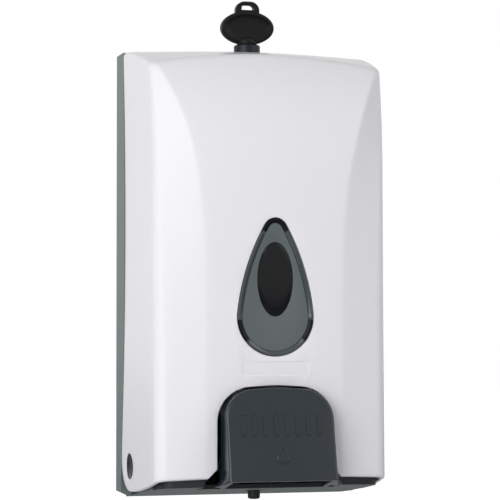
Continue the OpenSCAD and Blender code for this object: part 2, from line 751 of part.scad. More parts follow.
function arc_points(c, r, a0, a1, n) =
    [for (i = [0 : n]) let (a = a0 + (a1 - a0) * i / n) c + r * [cos(a), sin(a)]];

// The window's outline: a round lower end, two bowed sides and a small round tip
function teardrop(grow) =
    let (p = window_side_r - window_r, q = window_side_r - window_tip_r,
         cy = (p * p - q * q + window_h * window_h) / (2 * window_h), cx = sqrt(p * p - cy * cy),
         low = atan2(-cy, cx), high = atan2(window_h - cy, cx))
    [for (v = concat(
        arc_points([0, 0], window_r + grow, 180 - low, 360 + low, 28),
        arc_points([-cx, cy], window_side_r + grow, low, high, 8),
        arc_points([0, window_h], window_tip_r + grow, high, 180 - high, 12),
        arc_points([cx, cy], window_side_r + grow, 180 - high, 180 - low, 8)))
        [v[0], v[1] + window_up]];

module front_cover() color(shell) on_wall() difference() {
    union() {
        cover_shell();
        bar_z(nut_r - 0.8, nut_top, seat_up - touch, 0, lock_d);
        both_sides()
            block([ear_x, pivot_d - 4.5, pivot_up - 4.5], [ear_x + ear_t, body_d - 1.6, pivot_up + 4.5]);
    }
    both_sides() bar_x(head_r + run_gap, half_w - 8, half_w + 2, hinge_d, hinge_up);
    lever_opening();
    outward(cut_from, cut_to) polygon(teardrop(0));
    bar_z(collar_r + 0.15, seat_up, lock_up + past, 0, lock_d);
    bar_z(thread_r + 0.1, nut_top - past, seat_up + past, 0, lock_d);
    bar_x(pivot_r + 0.02, -ear_x - ear_t - past, ear_x + ear_t + past, pivot_d, pivot_up);
}

// Where the rim is set back to take the dark clips: its top and its two lower flanks
module clip_places(grow) {
    block([-12, cut_from, window_up + window_h + 0.3 - grow], [12, cut_to, window_up + window_h + 12]);
    both_sides()
        block([10.6 - grow, cut_from, window_up - 13.4 - grow], [24, cut_to, window_up - 0.8 + grow]);
}

module window_frame() color("#3e4446") on_wall() difference() {
    union() {
        outward(frame_back, frame_back + 1.7) polygon(teardrop(2));
        outward(frame_back, frame_front) polygon(teardrop(-0.15));
    }
    outward(frame_back + 1.9, frame_front + past) polygon(teardrop(-window_rim));
    outward(frame_back - past, frame_front) polygon(teardrop(-window_rim - 1.8));
    intersection() {
        outward(frame_front - 0.9, frame_front + past) polygon(teardrop(past));
        clip_places(0);
    }
}

module glass_outline(grow) translate([0, glass_up])
    polygon(ellipse(glass_half_w + grow, glass_half_h + grow));

module window_plate() color("#5d6466") on_wall() outward(frame_back + 2, frame_back + 3.6)
    difference() {
        polygon(teardrop(-window_rim - 0.2));
        glass_outline(0);
    }

module sight_glass() color("#232528") on_wall() {
    outward(frame_back + 0.4, frame_back + 1.9) intersection() {
        glass_outline(1.5);
        polygon(teardrop(-window_rim - 2.1));
    }
    outward(frame_back + 1.8, frame_back + 3.4) glass_outline(-0.1);
}

module window_clips() color(black) on_wall() intersection() {
    outward(frame_front - 0.85, frame_front) difference() {
        polygon(teardrop(-0.25));
        polygon(teardrop(-window_rim));
    }
    clip_places(-0.1);
}

// ---- lock ----
module lock_bush() color("#4a5056") on_wall() difference() {
    union() {
        bar_z(thread_r, bush_low, seat_up + 0.2, 0, lock_d);
        translate([0, -lock_d, 0]) rotate_extrude() polygon(rounded([
            [0, seat_up, 0], [collar_r, seat_up, 0.2], [collar_r, collar_top, 0.8], [0, collar_top, 0]]));
    }
    bar_z(barrel_r + run_gap, bush_low - past, collar_top + past, 0, lock_d);
}

module lock_nut() color(steel) on_wall() difference() {
    translate([0, -lock_d, nut_top - nut_t]) cylinder(r = nut_r, h = nut_t, $fn = 6);
    bar_z(thread_r + run_gap, nut_top - 5, nut_top + past, 0, lock_d);
}

module lock_barrel() color(steel) on_wall() difference() {
    bar_z(barrel_r, barrel_low, barrel_top, 0, lock_d);
    block([-slot_w / 2, lock_d - slot_t / 2, slot_low],
          [slot_w / 2, lock_d + slot_t / 2, barrel_top + past]);
    bar_z(1.2, barrel_low - past, barrel_low + 3, 0, lock_d);
}

module lock_cam() color(steel) on_wall() difference() {
    union() {
        bar_z(cam_w / 2, cam_top - cam_t, cam_top, 0, lock_d);
        block([-cam_w / 2, lock_d - cam_l + cam_w / 2, cam_top - cam_t], [cam_w / 2, lock_d, cam_top]);
        bar_z(cam_w / 2, cam_top - cam_t, cam_top, 0, lock_d - cam_l + cam_w / 2);
    }
    bar_z(1.25, cam_top - cam_t - past, cam_top + past, 0, lock_d);
}

module cam_screw() color("#8d9196") on_wall() difference() {
    union() {
        bar_z(3, cam_top - cam_t - 2, cam_top - cam_t, 0, lock_d);
        bar_z(1.15, cam_top - cam_t - 0.2, barrel_low + 2.6, 0, lock_d);
    }
    block([-4, lock_d - 0.4, cam_top - cam_t - 3], [4, lock_d + 0.4, cam_top - cam_t - 1.1]);
}

// A flat oval across the key's bow, from depth d0 to depth d1
module bow_oval(inset, d0, d1) outward(d0, d1) translate([0, key_low + bow_h / 2])
    polygon(ellipse(bow_w / 2 - inset, bow_h / 2 - inset));

module key() color(black) on_wall() {
    loop_up = key_low + bow_h;
    face = bow_t / 2;
    difference() {
        union() {
            bow_oval(0, lock_d - face, lock_d + face);
            outward(lock_d - loop_t / 2, lock_d + loop_t / 2) polygon(rounded([
                [-loop_half, loop_up - 4, 0], [loop_half, loop_up - 4, 0],
                [loop_half, loop_up + loop_h, 5], [-loop_half, loop_up + loop_h, 5]]));
            bar_z(key_neck_r, collar_top + 0.2, key_low + 3.5, 0, lock_d);
        }
        bow_oval(bow_rim, lock_d - face - past, lock_d - face + bow_dish);
        bow_oval(bow_rim, lock_d + face - bow_dish, lock_d + face + past);
        block([-eye_half, lock_d - bow_t, loop_up + eye_low],
              [eye_half, lock_d + bow_t, loop_up + eye_low + eye_h]);
    }
    block([-slot_w / 2 + key_gap, lock_d - slot_t / 2 + key_gap, slot_low + 0.5],
          [slot_w / 2 - key_gap, lock_d + slot_t / 2 - key_gap, key_low]);
}

// ---- strike on the wall plate that the cam turns behind ----
module lock_strike() color(steel) on_wall() difference() {
    union() {
        block([strike_x, plate_t, strike_up], [strike_x + strike_foot, strike_seat, strike_up + strike_h]);
        block([strike_x, plate_t, strike_up], [strike_x + strike_t, strike_d, strike_up + strike_h]);
        block([strike_lip_x, strike_d - strike_t, strike_up],
              [strike_x + strike_t, strike_d, strike_up + strike_h]);
    }
    bar_d(foot_pilot_r + 0.4, plate_t - past, strike_seat + past, strike_screw_x, strike_mid);
}

module strike_screws() color(steel) on_wall() difference() {
    union() {
        bar_d(screw_head_r, strike_seat, strike_seat + screw_head_t, strike_screw_x, strike_mid);
        bar_d(foot_screw_r, 0.8, strike_seat + 0.5, strike_screw_x, strike_mid);
    }
    block([strike_screw_x - 4, strike_seat + 1.1, strike_mid - 0.4],
          [strike_screw_x + 4, strike_seat + 3, strike_mid + 0.4]);
}

// ---- push lever ----
module lever_rod() color(steel) on_wall()
    bar_x(pivot_r, -ear_x - ear_t + 0.2, ear_x + ear_t - 0.2, pivot_d, pivot_up);

module lever_outline(inset, low) polygon(rounded([
    [-lever_half - flare + inset, low - 8, 0], [-lever_half - flare + inset, low, 0],
    [-lever_half + inset, low + 7, 6],
    [-lever_half + inset, lever_top - lever_arch - inset, lever_r - inset],
    [0, lever_top - inset, lever_arch_r],
    [lever_half - inset, lever_top - lever_arch - inset, lever_r - inset], [lever_half - inset, low + 7, 6],
    [lever_half + flare - inset, low, 0], [lever_half + flare - inset, low - 8, 0]]));

// The lever's side profile back to depth back, drawn in by inset from its face
module lever_profile(back, inset) polygon([
    [back, lever_top + past], [face_depth(lever_top + past) - inset, lever_top + past],
    [lever_low_d - inset, lever_low],
    [back, lever_low - face_slope * (lever_low_d - back)]]);

module push_lever() color(dark) on_wall() difference() {
    union() {
        difference() {
            union() {
                intersection() {
                    outward(lever_back, 110) lever_outline(0, lever_low - 12);
                    across(body_w) lever_profile(lever_back, 0);
                }
                intersection() {
                    outward(flare_back, flare_back + 5) lever_outline(0, lever_low - 2);
                    across(body_w) lever_profile(flare_back, 0);
                }
            }
            difference() {
                outward(lever_back - past, 110) lever_outline(lever_t, lever_low - 12);
                across(body_w) polygon([[face_depth(90) - lever_t, 90], [face_depth(-20) - lever_t, -20],
                                        [150, -20], [150, 90]]);
            }
        }
        both_sides() {
            translate([lever_half - lug_t / 2, 0, 0]) across(lug_t) polygon([
                [pivot_d - lug_back, pivot_up], [pivot_d - lug_back, pivot_up - 10],
                [lever_back, pivot_up - lug_h], [lever_back + 2.2, pivot_up - lug_h],
                [lever_back + 2.2, pivot_up + 1.2], [pivot_d, pivot_up + 1.2]]);
            bar_x(lug_r, lever_half - lug_t, ear_x - ear_gap, pivot_d, pivot_up);
        }
        across(2 * nose_half) polygon([
            [nose_d, pump_up - nose_r], [face_depth(pump_up - nose_r) - 1, pump_up - nose_r],
            [face_depth(pump_up + nose_r) - 1, pump_up + nose_r], [nose_d, pump_up + nose_r]]);
        bar_x(nose_r, -nose_half, nose_half, nose_d, pump_up);
    }
    bar_x(pivot_r + run_gap, -half_w, half_w, pivot_d, pivot_up);
}

// ---- every piece ----
back_plate();
hinge_pin_left();
hinge_pin_right();
tank();
tank_lid();
lid_seal();
union_nut();
neck_seal();
pump_body();
inlet_valve();
outlet_valve();
nozzle();
pump_cap();
pump_spring();
pump_screws();
lock_strike();
strike_screws();
front_cover();
window_frame();
window_plate();
sight_glass();
window_clips();
lock_bush();
lock_nut();
lever_rod();
push_lever();
plunger();
piston_seal();
lock_barrel();
lock_cam();
cam_screw();
key();
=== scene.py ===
# A wall mounted soap dispenser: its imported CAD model, dressed for looks.
import math

import bmesh
import bpy
from mathutils import Matrix, Vector


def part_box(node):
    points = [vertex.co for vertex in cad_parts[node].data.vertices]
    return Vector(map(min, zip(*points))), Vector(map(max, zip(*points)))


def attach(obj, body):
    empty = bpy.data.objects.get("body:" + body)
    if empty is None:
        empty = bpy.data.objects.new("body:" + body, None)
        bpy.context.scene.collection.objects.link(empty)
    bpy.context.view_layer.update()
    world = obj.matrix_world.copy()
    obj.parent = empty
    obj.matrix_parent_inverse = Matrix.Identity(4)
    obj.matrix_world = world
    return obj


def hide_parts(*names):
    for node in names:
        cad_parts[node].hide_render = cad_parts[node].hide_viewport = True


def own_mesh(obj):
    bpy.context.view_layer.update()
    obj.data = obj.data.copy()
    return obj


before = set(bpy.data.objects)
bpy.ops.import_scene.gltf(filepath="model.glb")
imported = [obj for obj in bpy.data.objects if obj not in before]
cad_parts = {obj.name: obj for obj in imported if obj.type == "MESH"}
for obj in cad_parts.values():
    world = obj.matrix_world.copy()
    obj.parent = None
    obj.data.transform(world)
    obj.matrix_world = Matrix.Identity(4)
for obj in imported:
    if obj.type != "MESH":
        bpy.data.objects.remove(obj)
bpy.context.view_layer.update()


# ---------------------------------------------------------------------------
# Wall plate.
# A tray moulded in grey plastic and screwed to the wall: its shelf carries the pump, and
# the bosses in the shelf take the two pins that hold the cover.
# Its lip and lower rear corners carry painted shade where the cover shades them.
# ---------------------------------------------------------------------------
MM = 0.001
plate_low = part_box("back_plate")[0].z
plate_grey = (0.142, 0.170, 0.168)
# Painted shade: the slate that the lip and the lower rear corners are darkened to, under the cover.
cover_shade_slate = (0.012, 0.016, 0.021)
mould_edge = 0.5
sharp_from = 32
flat_within = 0.6
# Where that painted shade falls, in mm: the lip's depth and height bands, and the rear corners' bands.
lip_depths = (60, 62)
lip_heights = (15.5, 16.5)
corner_rear = (13.5, 16.5)
corner_front = (34, 31)
corner_heights = (12, 20)


def at(x, depth, up):
    """A point from its distance off the middle, out of the wall and above the plate's foot, in mm."""
    return Vector((x * MM, -depth * MM, plate_low + up * MM))


def feed(tree, socket, value):
    """Joins a socket to another one, or sets it to a value."""
    if isinstance(value, bpy.types.NodeSocket):
        tree.links.new(value, socket)
    else:
        socket.default_value = value


def fitted(tree, node, **inputs):
    """The node with its named inputs joined or set."""
    for name, value in inputs.items():
        feed(tree, node.inputs[name.replace("_", " ")], value)
    return node


def added(tree, kind, **values):
    """A new node: names in lower case are its settings, the others its inputs."""
    node = tree.nodes.new(kind)
    for name in [n for n in values if n.islower()]:
        setattr(node, name, values.pop(name))
    return fitted(tree, node, **values)


def worked(tree, operation, *values):
    """The result of a math node on sockets or numbers."""
    node = added(tree, "ShaderNodeMath", operation=operation)
    for socket, value in zip(node.inputs, values):
        feed(tree, socket, value)
    return node.outputs[0]


def finish_group(name, stretch, fine, slow, worn=None):
    """Fine texture, slow shading and rubbed patches of a finish, as colour, roughness and height."""
    group = bpy.data.node_groups.new(name, "ShaderNodeTree")
    for way, ports in (("INPUT", ("Colour", "Grain Size", "Roughness", "Shading", "Rubbing")),
                       ("OUTPUT", ("Colour", "Roughness", "Height"))):
        for port in ports:
            kind = "NodeSocketColor" if port == "Colour" else "NodeSocketFloat"
            group.interface.new_socket(port, in_out=way, socket_type=kind)
    given = added(group, "NodeGroupInput").outputs
    place = added(group, "ShaderNodeTexCoord").outputs["Object"]
    drawn = added(group, "ShaderNodeMapping", Vector=place, Scale=stretch).outputs["Vector"]
    grain = added(group, "ShaderNodeTexNoise", Vector=drawn, Scale=given["Grain Size"], **fine).outputs["Fac"]
    drift = added(group, "ShaderNodeTexNoise", Vector=place, **slow).outputs["Fac"]
    rubs = added(group, "ShaderNodeTexNoise", Vector=place, **worn).outputs["Fac"] if worn else grain

    def swing(texture, amount, about):
        """The texture about zero, times one of the given amounts, added to about."""
        centred = worked(group, "SUBTRACT", texture, 0.5)
        return worked(group, "ADD", worked(group, "MULTIPLY", centred, given[amount]), about)

    shade = added(group, "ShaderNodeVectorMath", operation="SCALE", Vector=given["Colour"],
                  Scale=swing(drift, "Shading", 1))
    added(group, "NodeGroupOutput", Colour=shade.outputs["Vector"], Height=grain,
          Roughness=swing(rubs, "Rubbing", given["Roughness"]))
    return group


moulded_grain = finish_group("Moulded grain", (1, 1, 1), {"Detail": 3}, {"Scale": 14, "Detail": 4},
                             {"Scale": 60, "Detail": 6, "Distortion": 1.2})


def finish_of(name, colour, roughness, group=moulded_grain, grain=3000.0, bump=0.05, depth=0.00004,
              shading=0.05, rubbing=0.06, **constants):
    """A material whose colour, roughness and height come from a finish group; constants go on the shader."""
    material = bpy.data.materials.new(name)
    material.use_nodes = True
    tree = material.node_tree
    pattern = added(tree, "ShaderNodeGroup", node_tree=group, Colour=(*colour, 1), Grain_Size=grain,
                    Roughness=roughness, Shading=shading, Rubbing=rubbing).outputs
    relief = added(tree, "ShaderNodeBump", Strength=bump, Distance=depth, Height=pattern["Height"])
    fitted(tree, tree.nodes["Principled BSDF"], Base_Color=pattern["Colour"], Roughness=pattern["Roughness"],
           Normal=relief.outputs["Normal"], **constants)
    return material


def clean(shape):
    """The shape with its doubles merged and its faces turned outwards."""
    bmesh.ops.remove_doubles(shape, verts=shape.verts, dist=1e-6)
    bmesh.ops.recalc_face_normals(shape, faces=shape.faces)
    return shape


def mesh_from(shape, name):
    """The shape's mesh; the shape itself goes."""
    mesh = bpy.data.meshes.new(name)
    shape.to_mesh(mesh)
    shape.free()
    return mesh


def placed(name, data):
    """A new object in the scene."""
    thing = bpy.data.objects.new(name, data)
    bpy.context.scene.collection.objects.link(thing)
    return thing


def smooth(mesh):
    """Smooth shading, except over the sharp edges."""
    mesh.polygons.foreach_set("use_smooth", [True] * len(mesh.polygons))
    mesh.set_sharp_from_angle(angle=math.radians(sharp_from))


def piece(name, mesh, body, material, node):
    """A finished piece in a CAD node's place: named, coloured, shaded smooth and tied to its body."""
    mesh.name = name
    mesh.materials.clear()
    mesh.materials.append(material)
    mesh.polygons.foreach_set("material_index", [0] * len(mesh.polygons))
    if not mesh.has_custom_normals:
        smooth(mesh)
    thing = placed(name, mesh)
    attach(thing, body)
    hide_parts(node)
    return thing


def settled(thing):
    """The thing's mesh with its modifiers applied; the thing itself goes."""
    bpy.context.view_layer.update()
    graph = bpy.context.evaluated_depsgraph_get()
    mesh = bpy.data.meshes.new_from_object(thing.evaluated_get(graph), depsgraph=graph)
    bpy.data.objects.remove(thing)
    return mesh


def edged(mesh, width, angle=28):
    """The mesh with its hard edges bevelled, width in mm."""
    thing = placed("work", mesh)
    bevel = thing.modifiers.new("Edges", "BEVEL")
    bevel.limit_method = "ANGLE"
    bevel.angle_limit = math.radians(angle)
    bevel.width = width * MM
    bevel.segments = 2
    bevel.use_clamp_overlap = True
    return settled(thing)


def softened(node, width):
    """A copy of a CAD node's solid with its flat faces joined and its hard edges rounded."""
    shape = bmesh.new()
    shape.from_mesh(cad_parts[node].data)
    bmesh.ops.remove_doubles(shape, verts=shape.verts, dist=2e-6)
    bmesh.ops.dissolve_limit(shape, angle_limit=math.radians(flat_within), verts=shape.verts,
                             edges=shape.edges, delimit={"NORMAL"})
    mesh = edged(mesh_from(shape, node), width)
    smooth(mesh)
    thing = placed("work", mesh)
    thing.modifiers.new("Flat faces", "WEIGHTED_NORMAL").keep_sharp = True
    return settled(thing)


def dressed(name, node, width, body, material):
    """A piece that keeps its CAD node's form, with its edges rounded."""
    piece(name, softened(node, width), body, material, node)


def painted_cover_shade(material):
    """Painted shade: the shelf's lip and its rear corners, darkened towards slate where the cover shades
    them.
    """
    tree = material.node_tree
    place = added(tree, "ShaderNodeTexCoord").outputs["Object"]
    spot = added(tree, "ShaderNodeSeparateXYZ", Vector=place).outputs
    form = added(tree, "ShaderNodeNewGeometry").outputs["True Normal"]
    facing_out = added(tree, "ShaderNodeSeparateXYZ", Vector=form).outputs["Z"]

    def ramp(source, low, high):
        """From 0 at low to 1 at high."""
        return added(tree, "ShaderNodeMapRange", Value=source, From_Min=low, From_Max=high).outputs["Result"]

    def below(foot, top):
        """From 0 above top to 1 under foot, in mm above the plate's foot."""
        return ramp(spot["Z"], plate_low + top * MM, plate_low + foot * MM)

    def past(start, end):
        """From 0 to 1 between two depths, in mm out of the wall."""
        return ramp(spot["Y"], -start * MM, -end * MM)

    # Painted shade under the cover: the lip and the rear corners, but not faces that turn down.
    lip = worked(tree, "MULTIPLY", past(*lip_depths), below(*lip_heights))
    rear = worked(tree, "MULTIPLY", past(*corner_rear), past(*corner_front))
    corner = worked(tree, "MULTIPLY", rear, below(*corner_heights))
    mask = worked(tree, "MULTIPLY", worked(tree, "MAXIMUM", lip, corner), ramp(facing_out, -0.5, -0.1))
    blend = added(tree, "ShaderNodeMix", data_type="RGBA", Factor=mask)
    plain, dark = [socket for socket in blend.inputs if socket.type == "RGBA"]
    shader = tree.nodes["Principled BSDF"]
    feed(tree, plain, shader.inputs["Base Color"].links[0].from_socket)
    feed(tree, dark, (*cover_shade_slate, 1))
    fitted(tree, shader, Base_Color=[socket for socket in blend.outputs if socket.type == "RGBA"][0])


plate_finish = finish_of("Grey moulded plate", plate_grey, 0.46, bump=0.35, grain=1800,
                         Specular_IOR_Level=0.3)
# The plate's colour carries painted shade on its lip and rear corners, under the cover.
painted_cover_shade(plate_finish)
dressed("wall_plate", "back_plate", mould_edge, "base", plate_finish)


# ---------------------------------------------------------------------------
# Lock strike and its screw.
# A bent steel bracket on the plate that the lock's cam turns behind, held by one screw.
# Both are zinc plated and show fine drawing marks.
# ---------------------------------------------------------------------------
zinc = (0.62, 0.63, 0.65)

drawn_metal = finish_group("Drawn metal", (1, 1, 0.06), {}, {"Scale": 90, "Detail": 5})
steel_finish = finish_of("Zinc plated steel", zinc, 0.3, group=drawn_metal, grain=900, bump=0.15,
                         shading=0.15, rubbing=0.2, Metallic=1.0)
dressed("strike_bracket", "lock_strike", 0.3, "base", steel_finish)
dressed("strike_screw", "strike_screws", 0.15, "base", steel_finish)


# ---------------------------------------------------------------------------
# Soap tank, lid, seals and union nut.
# A milky blow-moulded tank hangs in the plate's brackets; a pressed lid closes it, and
# a ribbed nut pulls its neck down on the pump.
# ---------------------------------------------------------------------------
milky = (0.74, 0.78, 0.78)
lid_pale = (0.6, 0.63, 0.64)
rubber_dark = (0.045, 0.045, 0.048)
nut_dark = (0.06, 0.066, 0.072)
outlet_d = 41.0
neck_low = 44.0
nut_low = neck_low - 5
nut_h = 8.8
nut_ribs = 12
nut_bore = 9.05
nut_r = 12.0
nut_edge = 0.5
rib_r = 0.8

tank_finish = finish_of("Milky tank plastic", milky, 0.38, bump=0.3, grain=400, depth=0.0001, shading=0.08,
                        Subsurface_Weight=0.25, Subsurface_Radius=(0.01, 0.01, 0.01),
                        Transmission_Weight=0.18)
lid_finish = finish_of("Pale lid plastic", lid_pale, 0.42, bump=0.25)
rubber_finish = finish_of("Dark rubber", rubber_dark, 0.62, bump=0.4, grain=2200)
nut_finish = finish_of("Dark nut plastic", nut_dark, 0.4, bump=0.3)
dressed("soap_tank", "tank", 0.8, "base", tank_finish)
dressed("tank_cap", "tank_lid", 0.5, "base", lid_finish)
dressed("cap_seal", "lid_seal", 0.2, "base", rubber_finish)
dressed("neck_ring", "neck_seal", 0.2, "base", rubber_finish)


def new_tree(name, **sizes):
    """A Geometry Nodes tree with named number inputs and a material input, and those inputs."""
    tree = bpy.data.node_groups.new(name, "GeometryNodeTree")
    ports = tree.interface
    ports.new_socket("Geometry", in_out="INPUT", socket_type="NodeSocketGeometry")
    for size, value in sizes.items():
        kind = "NodeSocketInt" if isinstance(value, int) else "NodeSocketFloat"
        ports.new_socket(size.replace("_", " "), in_out="INPUT", socket_type=kind).default_value = value
    ports.new_socket("Finish", in_out="INPUT", socket_type="NodeSocketMaterial")
    ports.new_socket("Geometry", in_out="OUTPUT", socket_type="NodeSocketGeometry")
    return tree, added(tree, "NodeGroupInput").outputs


def closed_tree(tree, given, shape):
    """The tree, ended in Realize Instances and Set Material."""
    real = added(tree, "GeometryNodeRealizeInstances", Geometry=shape).outputs["Geometry"]
    coat = added(tree, "GeometryNodeSetMaterial", Geometry=real, Material=given["Finish"])
    added(tree, "NodeGroupOutput", Geometry=coat.outputs["Geometry"])
    return tree


def grown(tree, finish, base=None, **sizes):
    """The mesh that a tree makes in the given sizes, from a base object or from nothing."""
    base = base or placed("work", bpy.data.meshes.new("work"))
    growth = base.modifiers.new("Growth", "NODES")
    growth.node_group = tree
    values = {name.replace("_", " "): value for name, value in sizes.items()}
    values["Finish"] = finish
    for socket in tree.interface.items_tree:
        if socket.in_out == "INPUT" and socket.name in values:
            growth[socket.identifier] = values[socket.name]
    return settled(base)


def rib_ring_tree():
    """Round ribs standing in a ring about the upright axis."""
    tree, given = new_tree("Ring of grip ribs", Count=12, Ring_Radius=0.012, Rib_Radius=0.0008,
                           Rib_Height=0.0088)
    ring = added(tree, "GeometryNodeMeshCircle", Vertices=given["Count"], Radius=given["Ring Radius"])
    rib = added(tree, "GeometryNodeMeshCylinder", Vertices=16, Radius=given["Rib Radius"],
                Depth=given["Rib Height"])
    stand = added(tree, "GeometryNodeInstanceOnPoints", Points=ring.outputs["Mesh"],
                  Instance=rib.outputs["Mesh"])
    return closed_tree(tree, given, stand.outputs["Instances"])


rib_ring = rib_ring_tree()


def joined(*meshes):
    """Several meshes as one."""
    shape = bmesh.new()
    for mesh in meshes:
        shape.from_mesh(mesh)
    return mesh_from(shape, "joined")


def capped(shape, corners):
    """A face on the corners, unless they fall together."""
    corners = [c for n, c in enumerate(corners) if c not in corners[:n]]
    if len(corners) > 2:
        shape.faces.new(corners)


def turned(profile, place, sides=64):
    """A closed solid turned from a profile of (radius, height) in mm; place sets it in the dispenser."""
    shape = bmesh.new()
    turns = [2 * math.pi * i / sides for i in range(sides)]
    rings = []
    for radius, height in profile:
        if radius == 0:
            rings.append([shape.verts.new(place(0, 0, height))] * sides)
        else:
            spots = [place(radius * math.cos(t), radius * math.sin(t), height) for t in turns]
            rings.append([shape.verts.new(spot) for spot in spots])
    for low, high in zip(rings, rings[1:] + rings[:1]):
        for i in range(sides):
            capped(shape, [low[i], low[i - 1], high[i - 1], high[i]])
    return mesh_from(clean(shape), "turned")


def upright(a, b, h):
    """Places a turned shape about the tank neck's upright axis."""
    return at(a, outlet_d + b, h)


nut_top = nut_low + nut_h
nut_body = turned([(nut_bore, nut_low + 0.4), (nut_bore + 0.35, nut_low), (nut_r - nut_edge, nut_low),
                   (nut_r, nut_low + nut_edge), (nut_r, nut_top - nut_edge), (nut_r - nut_edge, nut_top),
                   (nut_bore + 0.35, nut_top), (nut_bore, nut_top - 0.4)], upright)
nut_grips = grown(rib_ring, nut_finish, Count=nut_ribs, Ring_Radius=nut_r * MM, Rib_Radius=rib_r * MM,
                  Rib_Height=(nut_h - 0.6) * MM)
nut_grips.transform(Matrix.Translation(at(0, outlet_d, nut_low + nut_h / 2)))
piece("neck_nut", joined(nut_body, nut_grips), "base", nut_finish, "union_nut")


# ---------------------------------------------------------------------------
# Pump: body, valves, nozzle, screws, cap, plunger, piston seal and spring.
# A white moulded cylinder lies under the tank, screwed to four posts; its plunger
# comes out through a ribbed cap, and a wound wire spring pushes it back.
# ---------------------------------------------------------------------------
pump_white = (0.72, 0.72, 0.69)
spring_steel = (0.66, 0.67, 0.68)
spout_slate = (0.013, 0.017, 0.019)
pump_up = 27.7
cap_r = 12.2
cap_ribs = 18
cap_back = 58.0
cap_front = 66.0
cap_seat = 62.0
rod_r = 4.0
cap_bore = rod_r + 0.05
barrel_r = 10.55
tip_d = 84.2
tip_t = 2.5
wire_r = 0.6
spring_turns = 5.0

pump_finish = finish_of("White pump plastic", pump_white, 0.34, bump=0.2)
wire_finish = finish_of("Spring wire", spring_steel, 0.24, group=drawn_metal, grain=1500, bump=0.1,
                        shading=0.1, rubbing=0.15, Metallic=1.0)
spout_finish = finish_of("Slate spout", spout_slate, 0.3, bump=0.2, Specular_IOR_Level=0.25)
dressed("pump_cylinder", "pump_body", 0.3, "base", pump_finish)
dressed("inlet_flap", "inlet_valve", 0.15, "base", rubber_finish)
dressed("outlet_flap", "outlet_valve", 0.15, "base", rubber_finish)
dressed("spout", "nozzle", 0.7, "base", spout_finish)
dressed("post_screws", "pump_screws", 0.15, "base", steel_finish)
dressed("plunger_rod", "plunger", 0.3, "pump_plunger", pump_finish)
dressed("piston_ring", "piston_seal", 0.2, "pump_plunger", rubber_finish)


def outward(a, b, h):
    """Places a turned shape about the pump's axis, which points out of the wall."""
    return at(a, h, pump_up + b)


def lying(depth):
    """Turns an upright shape onto the pump's axis, at a depth."""
    return Matrix.Translation(at(0, depth, pump_up)) @ Matrix.Rotation(math.pi / 2, 4, "X")


cap_body = turned([(cap_bore, cap_seat), (barrel_r, cap_seat), (barrel_r, cap_back + 0.4), (10.9, cap_back),
                   (cap_r - 0.5, cap_back), (cap_r, cap_back + 0.5), (cap_r, cap_front - 0.8),
                   (cap_r - 0.8, cap_front), (rod_r + 0.6, cap_front), (cap_bore, cap_front - 0.4)], outward)
cap_grips = grown(rib_ring, nut_finish, Count=cap_ribs, Ring_Radius=(cap_r - 0.1) * MM, Rib_Radius=rib_r * MM,
                  Rib_Height=(cap_front - cap_back - 1.0) * MM)
cap_grips.transform(lying((cap_back + cap_front) / 2))
piece("cylinder_cap", joined(cap_body, cap_grips), "base", nut_finish, "pump_cap")


def spring_tree():
    """Round wire wound on a helix along the upright axis."""
    tree, given = new_tree("Wound spring", Turns=5.0, Coil_Radius=0.005, Wire_Radius=0.0006, Length=0.015)
    coil = given["Coil Radius"]
    helix = added(tree, "GeometryNodeCurveSpiral", Resolution=40, Rotations=given["Turns"], Start_Radius=coil,
                  End_Radius=coil, Height=given["Length"])
    wire = added(tree, "GeometryNodeCurvePrimitiveCircle", Resolution=12, Radius=given["Wire Radius"])
    wound = added(tree, "GeometryNodeCurveToMesh", Curve=helix.outputs["Curve"],
                  Profile_Curve=wire.outputs["Curve"], Fill_Caps=True)
    return closed_tree(tree, given, wound.outputs["Mesh"])


spring_from = cap_front + wire_r + 0.1
spring_to = tip_d - tip_t - wire_r - 0.1
spring_length = (spring_to - spring_from) * MM
spring = grown(spring_tree(), wire_finish, Turns=spring_turns, Coil_Radius=(rod_r + 0.6 + wire_r) * MM,
               Wire_Radius=wire_r * MM, Length=spring_length)
spring.transform(lying(spring_from))
wound = piece("return_spring", spring, "base", wire_finish, "pump_spring")
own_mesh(wound)


# ---------------------------------------------------------------------------
# Cover.
# A glossy white shell with a crowned front, two soft creases and leaning sides; it turns
# on the snap pins and has openings for the push lever, the window and the lock.
# ---------------------------------------------------------------------------
cover_white = (0.834, 0.826, 0.855)
half_w = 67.3
body_h = 241.7
wall = 2.4
crown_r = 840.0
# The middle and the side edge of the front each run up straight, then sweep back on an arc.
body_d = 85.8
sweep_r = 97.0
sweep_h = 63.0
edge_d = 81.0
edge_lean = 0.0335
edge_sweep_r = 300.0
edge_sweep_h = 75.7
# The sides lean in from the seam with the plate to a rounded edge that thins out upwards.
side_lean = 0.086
seam_d = 16.3
edge_r = 7.5
edge_thin = 3.8
least_edge = 0.9
# The creases part the crowned front from its two facets and spread towards the top.
crease_half = 36.6
crease_start = body_h - 143
crease_reach = 123.4
crease_spread = 19.3
crease_least = 3.4
crease_soft = 1.5
# The rear edge follows the plate's bowed rim with a gap.
rim_d = 22.3
cover_gap = 0.3
bow_r = 1143.0
bow_up = body_h - 99
